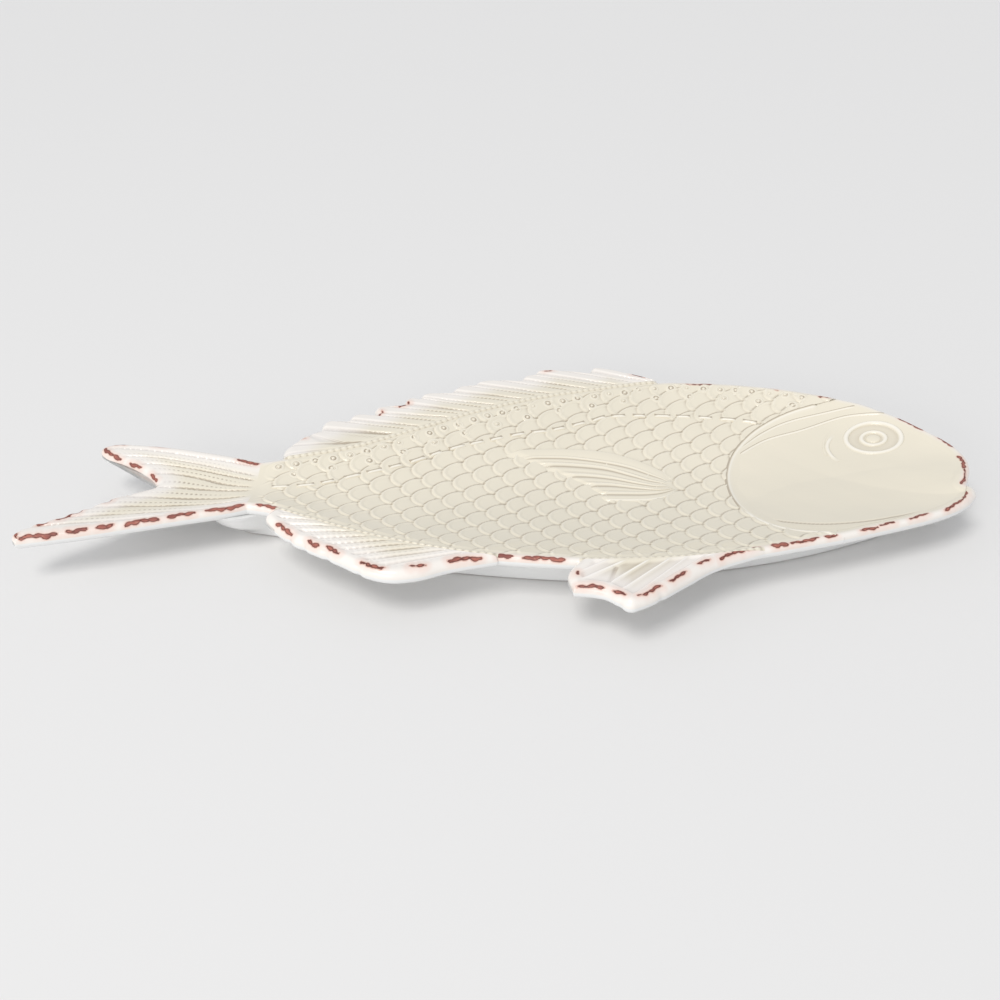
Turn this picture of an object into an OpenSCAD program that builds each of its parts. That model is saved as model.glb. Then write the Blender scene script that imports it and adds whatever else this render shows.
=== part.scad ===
// A fish shaped serving platter in glazed stoneware, with a dished body and ribbed fins.
// X runs from the tail to the snout, Y from the belly to the back, and Z up from the table.

/* [Platter] */
// Length from the tips of the tail to the snout
platter_l = 500; // [440:5:580]
// Width from the tip of the pelvic fin to the top of the dorsal fin
platter_w = 256; // [226:2:300]

/* [Clay wall] */
// Depth of the dish below its rim
dish_depth = 19; // [12:0.5:26]
// Thickness of the clay under the middle of the dish
floor_t = 5.5; // [4:0.5:9]
// Thickness of the rim and of the fins
rim_t = 7.6; // [5:0.2:11]
// Height of the blunt nose between the two rounded edges of the rim
nose_h = 1.2; // [0.6:0.1:2]

/* [Foot] */
// Gap between the table and the lowest clay inside the foot
base_gap = 3.5; // [2.6:0.1:8]
// Width of the foot wall
foot_w = 5.5; // [3:0.5:8]
// Height of the bare clay band that stands on the table
foot_band_h = 2.2; // [1:0.1:2.5]

/* [Scales] */
// Distance from one column of scales to the next
scale_pitch = 8.5; // [6:0.5:14]
// Width of one scale
scale_w = 19.5; // [12:0.5:26]
// Height of the step at the free edge of a scale
scale_step = 0.9; // [0.3:0.1:1.4]

/* [Fins] */
// Height of a rib above the groove beside it
rib_h = 1.5; // [0.5:0.1:2.5]
// Depth of the notch between two lobes of the dorsal fin
notch_d = 4; // [1:0.5:7]
// Height of the pectoral fin above the scales
pectoral_h = 2.2; // [1:0.1:4]

/* [Head] */
// Diameter of the outer ring of the eye
eye_d = 33; // [28:1:40]
// Diameter of the inner ring of the eye
eye_inner_d = 16; // [15:1:21]
// Width of the rings and lines on the head
line_w = 3; // [1.5:0.1:4]
// Height of the rings and lines on the head
line_h = 1.1; // [0.4:0.1:2]
// Diameter of the pupil's dome
pupil_d = 7.5; // [4:0.5:9]

/* [Sprigs] */
// Diameter of the pearls along the back
pearl_d = 3.4; // [2:0.1:5]
// Distance between the pearls of the outer row
pearl_pitch = 10; // [7:0.5:16]
// Length of one dash of the lateral line
dash_l = 7.5; // [4:0.5:11]
// Distance between the starts of two dashes
dash_pitch = 13; // [12:0.5:24]
// Width of a dash and of the ridges at the roots of the fins
dash_w = 2.2; // [1:0.1:3.5]

/* [Hidden] */

glaze_colour = "#ebe6d8";
clay_colour = "#c9a58c";
rim_h = base_gap + floor_t + dish_depth;
edge_r = rim_t / 2;
// Length of the sloping riser at the free edge of a scale
riser_run = 0.5;
// Distance over which the scales fade out at the sides of the body
fade_run = 4;
// How far inside the back the two rows of pearls run
pearl_inset = 7.5;
// Distance from the edge of the body to the middle of a root ridge
root_inset = 1.3;
// Share of the platter's width that the dish has where it is widest
dish_span_share = 0.76;
// How much of the dish's hollow is left at the end of the tail
tail_hollow_share = 0.12;
// Share of a column's pitch by which the free edge of a scale bulges
bulge_share = 0.8;
// How far the columns of scales lean towards the head at the back, as a share of the body
lean_share = 0.12;
// Where the middle row of scales runs at the tail and at the gill, as shares of the body's width
middle_shares = [0.6, 0.36];
// Share of a row, at each of its ends, within which the rounded edge can reach
edge_share = 0.15;
// Numbers of ribs
dorsal_ribs = 13;
anal_ribs = 10;
pelvic_ribs = 8;
tail_ribs = 11;
pectoral_ribs = 7;
// Pieces in each stretch between two points of an outline
steps = 4;

// Outlines, each point as its shares of the length and the width, chosen along the real edge
belly_shares = [[-0.278, -0.160], [-0.248, -0.176], [-0.200, -0.223], [-0.150, -0.270], [-0.102, -0.305],
    [-0.052, -0.332], [-0.018, -0.344], [0.060, -0.359], [0.124, -0.357], [0.186, -0.344],
    [0.242, -0.320], [0.284, -0.296], [0.326, -0.271]];
back_shares = [[-0.278, 0.021], [-0.256, 0.035], [-0.180, 0.090], [-0.110, 0.176], [-0.046, 0.258],
    [0.030, 0.332], [0.116, 0.387], [0.180, 0.418], [0.222, 0.418], [0.270, 0.410], [0.326, 0.387],
    [0.374, 0.352], [0.400, 0.324]];
gill_shares = [[0.326, -0.271], [0.282, -0.232], [0.255, -0.165], [0.240, -0.073], [0.237, 0.019],
    [0.244, 0.100], [0.260, 0.173], [0.290, 0.243], [0.336, 0.297], [0.400, 0.324]];
jaw_shares = [[0.326, -0.271], [0.402, -0.216], [0.442, -0.182], [0.470, -0.146], [0.484, -0.114]];
snout_shares = [[0.484, -0.114], [0.486, -0.094], [0.481, -0.074], [0.488, -0.044], [0.496, -0.008],
    [0.500, 0.031], [0.498, 0.078], [0.490, 0.121], [0.476, 0.168]];
forehead_shares = [[0.400, 0.324], [0.420, 0.301], [0.438, 0.266], [0.456, 0.227], [0.476, 0.168]];
tail_low_shares = [[-0.278, -0.160], [-0.304, -0.180], [-0.356, -0.211], [-0.418, -0.250],
    [-0.464, -0.275], [-0.494, -0.289]];
tail_end_shares = [[-0.494, -0.289], [-0.500, -0.268], [-0.490, -0.236], [-0.468, -0.203],
    [-0.444, -0.160], [-0.426, -0.120], [-0.408, -0.098], [-0.396, -0.084], [-0.402, -0.052],
    [-0.417, -0.014], [-0.435, 0.022], [-0.453, 0.050], [-0.463, 0.074], [-0.459, 0.090]];
tail_up_shares = [[-0.278, 0.021], [-0.314, 0.050], [-0.362, 0.077], [-0.412, 0.095], [-0.444, 0.100],
    [-0.459, 0.090]];
dorsal_shares = [[-0.246, 0.072], [-0.240, 0.120], [-0.226, 0.178], [-0.196, 0.224], [-0.166, 0.268],
    [-0.132, 0.314], [-0.100, 0.353], [-0.058, 0.402], [-0.010, 0.438], [0.036, 0.482], [0.080, 0.496],
    [0.120, 0.499], [0.158, 0.473], [0.180, 0.428]];
dorsal_end_shares = [[-0.256, 0.035], [-0.253, 0.053], [-0.246, 0.072]];
anal_shares = [[-0.018, -0.347], [-0.066, -0.388], [-0.092, -0.408], [-0.120, -0.406], [-0.146, -0.388],
    [-0.168, -0.355], [-0.194, -0.320], [-0.220, -0.284], [-0.242, -0.241]];
anal_end_shares = [[-0.248, -0.176], [-0.254, -0.204], [-0.242, -0.241]];
pelvic_shares = [[0.242, -0.323], [0.186, -0.388], [0.160, -0.428], [0.134, -0.468], [0.114, -0.496],
    [0.100, -0.500], [0.082, -0.460], [0.058, -0.450]];
pelvic_end_shares = [[0.060, -0.359], [0.051, -0.402], [0.058, -0.450]];
pectoral_up_shares = [[-0.015, 0.119], [0.013, 0.149], [0.048, 0.169], [0.090, 0.173],
    [0.133, 0.145], [0.166, 0.100], [0.192, 0.050]];
pectoral_low_shares = [[-0.015, 0.119], [0.015, 0.076], [0.048, 0.054], [0.080, 0.030],
    [0.096, -0.016], [0.133, -0.031], [0.167, -0.012], [0.192, 0.050]];
cheek_low_shares = [[0.281, 0.192], [0.296, 0.227], [0.338, 0.267], [0.413, 0.291]];
cheek_high_shares = [[0.277, 0.158], [0.296, 0.200], [0.340, 0.227], [0.397, 0.260], [0.435, 0.253]];
eye_shares = [0.417, 0.167];
brow_shares = [[0.379, 0.227], [0.368, 0.174], [0.373, 0.120]];
lateral_shares = [[-0.265, -0.070], [-0.219, -0.051], [-0.170, -0.004], [-0.123, 0.046],
    [-0.070, 0.119], [-0.022, 0.169], [0.013, 0.200], [0.048, 0.223], [0.092, 0.262],
    [0.119, 0.284], [0.190, 0.296], [0.261, 0.281], [0.296, 0.262]];
foot_shares = [[-0.300, -0.062], [-0.290, -0.103], [-0.250, -0.126], [-0.190, -0.166], [-0.120, -0.225],
    [-0.058, -0.258], [0.060, -0.285], [0.140, -0.272], [0.206, -0.250], [0.276, -0.215],
    [0.340, -0.168], [0.400, -0.105], [0.432, 0.000], [0.424, 0.105], [0.380, 0.215],
    [0.316, 0.289], [0.240, 0.324], [0.160, 0.316], [0.080, 0.285], [0.000, 0.226],
    [-0.070, 0.150], [-0.140, 0.060], [-0.196, 0.012], [-0.246, -0.010], [-0.288, -0.024]];

// Where the rows of each shell lie, as shares of its length and width
head_row_shares = [0, 0.1, 0.2, 0.3, 0.4, 0.5, 0.6, 0.7, 0.8, 0.88, 0.94, 0.98, 1];
tail_row_shares = [0, 0.04, 0.1, 0.2, 0.32, 0.44, 0.56, 0.68, 0.8, 0.9, 0.96, 0.99, 1];
fin_point_shares = [0, 0.08, 0.2, 0.35, 0.5, 0.65, 0.8, 0.9, 0.96, 1];
pectoral_row_shares = [0.04, 0.12, 0.22, 0.34, 0.46, 0.58, 0.7, 0.8, 0.88, 0.94, 0.98];
// Section of a raised line, as shares of its width and height
line_width_shares = [-0.5, -0.25, 0.25, 0.5];
line_height_shares = [0.25, 1, 1, 0.25];

function mix(a, b, t) = a + (b - a) * t;
function clamp(t) = max(0, min(1, t));
function smooth(t) = let (c = clamp(t)) c * c * (3 - 2 * c);
// Rises from 0 at both ends of a stretch from 0 to 1, the steeper the larger n is
function both_ends(t, n) = smooth(n * t) * smooth(n * (1 - t));
function reversed(p) = [for (i = [len(p) - 1 : -1 : 0]) p[i]];
function stretch(p, a, b) = [for (i = [a : b]) p[i]];
function unit(v) = v / norm(v);
function sized(shares) = [for (s = shares) [s[0] * platter_l, s[1] * platter_w]];

// A smooth line through points, and the same for a closed one
function bent(a, b, c, d, t) =
    (2 * b + (c - a) * t + (2 * a - 5 * b + 4 * c - d) * t * t
     + (3 * b - a - 3 * c + d) * t * t * t) / 2;
function spline(p) =
    let (m = len(p) - 1)
    [for (i = [0 : m - 1]) for (k = [0 : steps - 1])
        bent(p[max(i - 1, 0)], p[i], p[i + 1], p[min(i + 2, m)], k / steps), p[m]];
function ring(p) =
    let (m = len(p))
    [for (i = [0 : m - 1]) for (k = [0 : steps - 1])
        bent(p[(i + m - 1) % m], p[i], p[(i + 1) % m], p[(i + 2) % m], k / steps)];

// A line with its running length, so that a place on it is found by its share
function track(p) =
    let (run = [for (i = 0, s = 0; i < len(p);
                     s = s + (i + 1 < len(p) ? norm(p[i + 1] - p[i]) : 0), i = i + 1) s])
    [[for (i = [0 : len(p) - 1]) [run[i], p[i][0]]],
     [for (i = [0 : len(p) - 1]) [run[i], p[i][1]]], run[len(p) - 1]];
function on(line, s) = [lookup(s * line[2], line[0]), lookup(s * line[2], line[1])];

// Points beside a line, a distance to its left
function beside(line, d) =
    [for (i = [0 : len(line) - 1])
        let (t = unit(line[min(i + 1, len(line) - 1)] - line[max(i - 1, 0)]))
        line[i] + d * [-t[1], t[0]]];
function inside(p, d) =
    let (n = len(p))
    [for (i = [0 : n - 1])
        let (t = unit(p[(i + 1) % n] - p[(i + n - 1) % n]))
        p[i] + d * [-t[1], t[0]]];
function circle_path(c, r, n) = [for (i = [0 : n - 1]) c + r * [cos(360 * i / n), sin(360 * i / n)]];

// Distance from a point to a line
function piece_gap(p, a, b) = let (d = b - a) norm(p - a - d * clamp(((p - a) * d) / (d * d)));
function gap(p, line) = min([for (i = [0 : len(line) - 2]) piece_gap(p, line[i], line[i + 1])]);

belly = spline(sized(belly_shares));
back = spline(sized(back_shares));
gill = spline(sized(gill_shares));
jaw = spline(sized(jaw_shares));
snout = spline(sized(snout_shares));
forehead = spline(sized(forehead_shares));
tail_low = spline(sized(tail_low_shares));
tail_end = spline(sized(tail_end_shares));
tail_up = spline(sized(tail_up_shares));
root = [belly[0], back[0]];
mouth = 3 * steps;

// The lower and the upper side of the whole dish, from the tail to the mouth
low_side = concat(reversed(tail_low), belly, jaw, stretch(snout, 0, mouth));
high_side = concat(reversed(tail_up), back, forehead, reversed(stretch(snout, mouth, 8 * steps)));

// A patch is four lines, its low and high side and its first and last end
LOW = 0;
HIGH = 1;
FIRST = 2;
LAST = 3;
body_patch = [track(belly), track(back), track(root), track(gill)];
head_patch = [track(jaw), track(forehead), track(gill), track(snout)];
tail_patch = [track(tail_low), track(tail_up), track(root), track(tail_end)];

// A fin is a patch too, with its number of lobes, the depth of its notches and the lag of its edge
LOBES = 4;
NOTCH = 5;
LAG = 6;
dorsal_base = stretch(back, steps, 7 * steps);
dorsal_edge = spline(sized(dorsal_shares));
dorsal = [track(dorsal_base), track(dorsal_edge), track(spline(sized(dorsal_end_shares))),
          track([dorsal_base[6 * steps], dorsal_edge[13 * steps]]), dorsal_ribs, notch_d, 0.15];
anal_base = reversed(stretch(belly, steps, 6 * steps));
anal_edge = spline(sized(anal_shares));
anal = [track(anal_base), track(anal_edge), track([anal_base[0], anal_edge[0]]),
        track(spline(sized(anal_end_shares))), anal_ribs, notch_d / 3, -0.14];
pelvic_base = reversed(stretch(belly, 7 * steps, 10 * steps));
pelvic_edge = spline(sized(pelvic_shares));
pelvic = [track(pelvic_base), track(pelvic_edge), track([pelvic_base[0], pelvic_edge[0]]),
          track(spline(sized(pelvic_end_shares))), pelvic_ribs, notch_d / 4, -0.08];

function patch_at(k, u, v) =
    mix(on(k[LOW], u), on(k[HIGH], u), v) + mix(on(k[FIRST], v), on(k[LAST], v), u)
    - mix(mix(on(k[LOW], 0), on(k[HIGH], 0), v), mix(on(k[LOW], 1), on(k[HIGH], 1), v), u);

// The free edge of a fin is notched between its lobes, and its ribs slant
function fin_edge(f, u) =
    let (o = on(f[HIGH], u - f[LAG] * sin(180 * u)),
         b = on(f[LOW], u),
         wave = abs(cos(180 * f[LOBES] * u)))
    o + unit(b - o) * min(f[NOTCH] * pow(wave, 4), norm(b - o) / 3) * both_ends(u, 6);
function fin_at(f, u, v) =
    mix(on(f[LOW], u), fin_edge(f, u), v) + mix(on(f[FIRST], v), on(f[LAST], v), u)
    - mix(mix(on(f[LOW], 0), fin_edge(f, 0), v), mix(on(f[LOW], 1), fin_edge(f, 1), v), u);
function fin_rim(f) =
    concat([for (i = [0 : 3]) on(f[FIRST], i / 4)],
           [for (i = [0 : 4 * f[LOBES]]) fin_edge(f, i / f[LOBES] / 4)],
           [for (i = [3 : -1 : 0]) on(f[LAST], i / 4)]);

// Every free edge of the clay
free_edges = [tail_low, tail_end, tail_up, stretch(back, 0, steps), stretch(back, 7 * steps, 12 * steps),
    stretch(belly, 0, steps), stretch(belly, 6 * steps, 7 * steps), stretch(belly, 10 * steps, 12 * steps),
    jaw, snout, forehead, fin_rim(dorsal), fin_rim(anal), fin_rim(pelvic)];
function edge_gap(p) = min([for (e = free_edges) gap(p, e)]);

// How far the rounded edge drops at a distance from the free edge
function lip(d) = d >= edge_r ? 0 :
    (edge_r - nose_h / 2) * (1 - sqrt(max(0, 1 - pow(1 - d / edge_r, 2))));

// Depth of the dish at a place, nothing at its sides and deepest half way between them
hollow_slope = 4 * dish_depth / (dish_span_share * platter_w);
function hollow(p) =
    let (a = gap(p, low_side),
         b = gap(p, high_side),
         far = tail_end[steps][0],
         s = smooth((p[0] - far) / (root[0][0] - far)))
    hollow_slope * a * b / max(a + b, nose_h) * mix(tail_hollow_share, 1, s);
// Clay thickness, from the rim to the middle of the floor
function wall(deep) = mix(rim_t, floor_t, clamp(deep / dish_depth));

// Heights of the glazed face and of the underside, with the rounded edge where one is near
function top_z(p, near = false) = rim_h - hollow(p) - (near ? lip(edge_gap(p)) : 0);
function under_z(p, near = false) =
    let (deep = hollow(p))
    rim_h - deep - wall(deep) + (near ? lip(edge_gap(p)) : 0);

// Faces between two rows of points, whose places along the rows are ta and tb
function middles(t) = [for (i = [0 : len(t) - 2]) (t[i] + t[i + 1]) / 2];
function zip(a, ta, b, tb) =
    let (ma = middles(ta), mb = middles(tb))
    concat([for (i = [0 : len(ma) - 1])
                let (j = len([for (m = mb) if (m < ma[i]) 1]))
                [a[i], a[i + 1], b[j]]],
           [for (j = [0 : len(mb) - 1])
                let (i = len([for (m = ma) if (m <= mb[j]) 1]))
                [a[i], b[j + 1], b[j]]]);
// Faces round a row of rings with m points each
function tube_faces(rings, m, closed) =
    [for (i = [0 : rings - (closed ? 1 : 2)]) for (k = [0 : m - 1])
        let (here = m * i, next = m * ((i + 1) % rings), j = (k + 1) % m)
        each [[here + k, next + k, here + j], [here + j, next + k, next + j]]];

// A closed shell from rows of [x, y, z, place]: the top rows, then the underside rows backwards
module shell(top, under) {
    rows = concat(top, reversed(under));
    n = len(rows);
    m = len(top);
    w = len(under);
    starts = [for (i = 0, s = 0; i < n; s = s + len(rows[i]), i = i + 1) s];
    ids = [for (i = [0 : n - 1]) [for (k = [0 : len(rows[i]) - 1]) starts[i] + k]];
    places = [for (r = rows) [for (p = r) p[3]]];
    sides = [for (i = [0 : n - 1])
             let (j = (i + 1) % n)
             each zip(ids[i], places[i], ids[j], places[j])];
    first_top = [for (i = [0 : m - 1]) ids[i][0]];
    first_under = [for (i = [n - 1 : -1 : m]) ids[i][0]];
    last_top = [for (i = [0 : m - 1]) ids[i][len(ids[i]) - 1]];
    last_under = [for (i = [n - 1 : -1 : m]) ids[i][len(ids[i]) - 1]];
    top_places = [for (i = [0 : m - 1]) i / (m - 1)];
    under_places = [for (i = [0 : w - 1]) i / (w - 1)];
    polyhedron([for (r = rows) for (p = r) [p[0], p[1], p[2]]],
               concat(sides, zip(first_top, top_places, first_under, under_places),
                      zip(last_under, under_places, last_top, top_places)));
}

// Places across a piece, closer together at its two rounded edges
function places_across(width, n) =
    let (c = edge_r / width)
    concat([0, c / 3, c], [for (i = [1 : n - 1]) mix(c, 1 - c, i / n)], [1 - c, 1 - c / 3, 1]);
function top_row(k, u, vs) = [for (v = vs) let (p = patch_at(k, u, v)) [p[0], p[1], top_z(p, true), v]];
function under_row(k, u, vs) = [for (v = vs) let (p = patch_at(k, u, v)) [p[0], p[1], under_z(p, true), v]];
// A rib with a round back, between two grooves
function crest(ribs, t) = rib_h * (pow(abs(sin(180 * ribs * t)), 0.7) - 0.5);

// Columns of scales run across the body, and lean a little towards the head at the back
columns = round((on(body_patch[LAST], 0.5)[0] - root[0][0]) / scale_pitch);
function body_at(u, v) = patch_at(body_patch, clamp(u + lean_share * sin(180 * clamp(u)) * v), v);
function by_edge(v) = v < edge_share || v > 1 - edge_share;
function column_length(u) =
    let (n = 10, p = [for (i = [0 : n]) body_at(u, i / n)])
    [for (i = 0, s = 0; i <= n; s = s + (i < n ? norm(p[i + 1] - p[i]) : 0), i = i + 1) [i / n, s]];

// Places along a column with the number of the scale there, four places to a scale
function scale_places(u) =
    let (run = column_length(u),
         total = run[10][1],
         back_run = [for (r = run) [r[1], r[0]]],
         middle = lookup(mix(middle_shares[0], middle_shares[1], u), run),
         q0 = -middle / scale_w,
         q1 = (total - middle) / scale_w,
         c = edge_r / total,
         inner = [for (k = [ceil(4 * q0) : floor(4 * q1)])
                  let (v = lookup(middle + k * scale_w / 4, back_run))
                  if (v > 1.6 * c && v < 1 - 1.6 * c) [v, k / 4]])
    concat([[0, q0], [c / 3, q0], [c, q0]], inner, [[1 - c, q1], [1 - c / 3, q1], [1, q1]]);
// The free edges of a column of scales: side is 1 on top of the step and -1 at its foot
function scale_row(u, phase, side) =
    let (total = column_length(u)[10][1])
    [for (w = scale_places(u))
        let (t = w[1] + phase,
             part = 2 * (t - round(t)),
             bulge = bulge_share * sqrt(max(0, 1 - part * part)),
             shift = (side * riser_run / 2 / scale_pitch - bulge) / columns,
             p = body_at(clamp(u + shift), w[0]),
             reach = min(w[0], 1 - w[0]) * total,
             near = reach < 2 * edge_r,
             fade = near ? 0 : smooth(reach / fade_run))
        [p[0], p[1], top_z(p, near) + max(side, 0) * scale_step * fade, w[0]]];
function plain_row(u) =
    [for (w = scale_places(u))
        let (p = body_at(u, w[0]))
        [p[0], p[1], top_z(p, by_edge(w[0])), w[0]]];

module scaled_body() {
    rows = 30;
    vs = places_across(platter_w / 2, 16);
    color(glaze_colour)
        shell(concat([plain_row(0)],
                     [for (i = [1 : columns - 1]) each [scale_row((i + 0.9) / columns, i % 2 / 2, -1),
                                                        scale_row((i + 0.9) / columns, i % 2 / 2, 1)]],
                     [plain_row(1)]),
              [for (i = [0 : rows]) [for (v = vs)
                  let (p = body_at(i / rows, v))
                  [p[0], p[1], under_z(p, by_edge(v)), v]]]);
}

module head() {
    vs = places_across(platter_w / 2, 24);
    color(glaze_colour)
        shell([for (u = head_row_shares) top_row(head_patch, u, vs)],
              [for (u = head_row_shares) under_row(head_patch, u, vs)]);
}

// Ribs of the tail fan out from its root to the fork
module tail_fin() {
    n = 4 * tail_ribs;
    vs = concat([0, 0.5 / n], [for (i = [1 : n - 1]) i / n], [1 - 0.5 / n, 1]);
    color(glaze_colour)
        mirror([1, 0, 0])
            shell([for (u = tail_row_shares) [for (v = vs)
                      let (p = patch_at(tail_patch, u, v),
                           fade = both_ends(u, 7) * both_ends(v, 14))
                      [-p[0], p[1], top_z(p, true) + crest(tail_ribs, v) * fade, v]]],
                  [for (u = tail_row_shares) [for (v = vs)
                      let (p = patch_at(tail_patch, u, v))
                      [-p[0], p[1], under_z(p, true), v]]]);
}

// A side fin: each lobe of its edge is the end of one rib
module side_fin(f) {
    n = 4 * f[LOBES];
    color(glaze_colour)
        shell([for (i = [0 : n]) [for (v = fin_point_shares)
                  let (u = i / n,
                       p = fin_at(f, u, v),
                       fade = both_ends(v, 5) * both_ends(u, 9))
                  [p[0], p[1], rim_h - lip(edge_gap(p)) + crest(f[LOBES], u) * fade, v]]],
              [for (i = [0 : n]) [for (v = fin_point_shares)
                  let (p = fin_at(f, i / n, v))
                  [p[0], p[1], rim_h - rim_t + lip(edge_gap(p)), v]]]);
}

module dorsal_fin() { side_fin(dorsal); }
module anal_fin() { side_fin(anal); }
module pelvic_fin() { side_fin(pelvic); }

// The pectoral fin lies on the scales, with ribs from its root at the gill to its tip
module pectoral_fin() {
    n = 4 * pectoral_ribs;
    low = track(spline(sized(pectoral_low_shares)));
    high = track(spline(sized(pectoral_up_shares)));
    function at(u, v) = mix(on(low, u), on(high, u), v);
    function rise(u, v) =
        pectoral_h * (0.25 + 0.75 * pow(abs(sin(180 * v)), 0.4) * pow(sin(180 * u), 0.3))
        * (0.75 + 0.25 * abs(sin(180 * pectoral_ribs * v)));
    function pectoral_row(u, raised) =
        [for (i = [0 : n])
            let (v = i / n, p = at(u, v))
            [p[0], p[1], top_z(p) + scale_step + (raised ? rise(u, v) : 0), v]];
    color(glaze_colour)
        shell([for (u = pectoral_row_shares) pectoral_row(u, true)],
              [for (u = pectoral_row_shares) pectoral_row(u, false)]);
}

// A raised line that follows the clay, with a rounded top and a flat base
module raised_line(path, w, h, lift = 0, closed = false) {
    n = len(path);
    last = n - 1;
    function along(i) = closed ? path[(i + 1) % n] - path[(i + n - 1) % n]
        : path[min(i + 1, last)] - path[max(i - 1, 0)];
    function side(i) = let (d = unit(along(i))) [-d[1], d[0]];
    function at(i, k, rise) =
        let (p = path[i] + side(i) * w * line_width_shares[k])
        [p[0], p[1], top_z(p) + lift + rise];
    function over(i) = [for (k = [3 : -1 : 0]) at(i, k, h * line_height_shares[k])];
    function below(i) = [for (k = [0, 3]) at(i, k, 0)];
    caps = [for (k = [1 : 4]) each [[0, k, k + 1], [6 * last, 6 * last + k + 1, 6 * last + k]]];
    polyhedron([for (i = [0 : last]) each concat(over(i), below(i))],
               concat(tube_faces(n, 6, closed), closed ? [] : caps));
}

eye = sized([eye_shares])[0];

module gill_ridge() {
    arc = stretch(gill, steps, 8 * steps);
    color(glaze_colour) raised_line(beside(arc, -line_w / 2), line_w, line_h);
}
module cheek_ridges() {
    color(glaze_colour) {
        raised_line(spline(sized(cheek_low_shares)), line_w, line_h);
        raised_line(spline(sized(cheek_high_shares)), line_w, line_h);
    }
}
module eye_outer_ring() {
    color(glaze_colour)
        raised_line(circle_path(eye, (eye_d - line_w) / 2, 40), line_w, line_h, 0, true);
}
module eye_inner_ring() {
    color(glaze_colour)
        raised_line(circle_path(eye, (eye_inner_d - line_w) / 2, 28), line_w, line_h, 0, true);
}
module brow_ridge() {
    color(glaze_colour) raised_line(spline(sized(brow_shares)), line_w, line_h);
}

// A half ball that stands square on the clay
module dome(p, d, lift) {
    e = d / 4;
    slope_x = (top_z(p + [e, 0]) - top_z(p - [e, 0])) / 2 / e;
    slope_y = (top_z(p + [0, e]) - top_z(p - [0, e])) / 2 / e;
    translate([p[0], p[1], top_z(p) + lift])
        rotate([atan(slope_y), -atan(slope_x), 0])
            intersection() {
                sphere(d = d, $fn = 24);
                translate([-d, -d, 0]) cube([2 * d, 2 * d, d]);
            }
}
module pupil() { color(glaze_colour) dome(eye, pupil_d, 0); }

// Two rows of pearls run below the back from the tail to the gill
module pearls(inset, pitch, start) {
    line = track(beside(stretch(back, steps / 2, 11 * steps - 1), -inset));
    n = floor(line[2] / pitch);
    color(glaze_colour)
        for (i = [0 : n - 1]) dome(on(line, (i + start) / n), pearl_d, scale_step);
}
module outer_pearls() { pearls(pearl_inset, pearl_pitch, 0.5); }
module inner_pearls() { pearls(2 * pearl_inset, 2 * pearl_pitch, 0.6); }

// Dashes of the lateral line climb over the scales from the tail to the gill
module lateral_line() {
    line = track(spline(sized(lateral_shares)));
    n = floor(line[2] / dash_pitch);
    part = dash_l / line[2];
    color(glaze_colour)
        for (i = [0 : n - 1])
            raised_line([for (k = [0 : 3]) on(line, (i + 0.2) / n + part * k / 3)],
                        dash_w, scale_step, scale_step);
}

// A ridge marks the root of each side fin on the body
module dorsal_root_ridge() {
    color(glaze_colour) raised_line(beside(dorsal_base, -root_inset), dash_w, scale_step);
}
module belly_root_ridge() {
    color(glaze_colour) {
        raised_line(beside(anal_base, -root_inset), dash_w, scale_step);
        raised_line(beside(pelvic_base, -root_inset), dash_w, scale_step);
    }
}

// The foot stands inside the rim: a wall up to the dish, on a flat band of bare clay
foot_outer = ring(sized(foot_shares));
foot_inner = inside(foot_outer, foot_w);

module foot_wall() {
    n = len(foot_outer);
    function lifted(p) = concat(p, [under_z(p)]);
    function standing(p) = concat(p, [foot_band_h]);
    color(glaze_colour)
        polyhedron([for (i = [0 : n - 1]) each [lifted(foot_outer[i]), standing(foot_outer[i]),
                                                standing(foot_inner[i]), lifted(foot_inner[i])]],
                   tube_faces(n, 4, true));
}

module foot_ring() {
    color(clay_colour)
        linear_extrude(foot_band_h)
            difference() {
                polygon(foot_outer);
                polygon(foot_inner);
            }
}

scaled_body();
head();
tail_fin();
dorsal_fin();
anal_fin();
pelvic_fin();
pectoral_fin();
gill_ridge();
cheek_ridges();
eye_outer_ring();
eye_inner_ring();
pupil();
brow_ridge();
outer_pearls();
inner_pearls();
lateral_line();
dorsal_root_ridge();
belly_root_ridge();
foot_wall();
foot_ring();
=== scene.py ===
# %% [markdown]
# A fish shaped serving platter in glazed stoneware. A potter presses the dished body in a mould, with the
# scales, the pearls and the ribs of the fins cut into that mould, and lutes a foot below it. The solids
# give its size and its place. This lesson dresses each solid in a fine skin with the relief and the glaze
# of the real one.

# %% load the frame
import math

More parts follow.
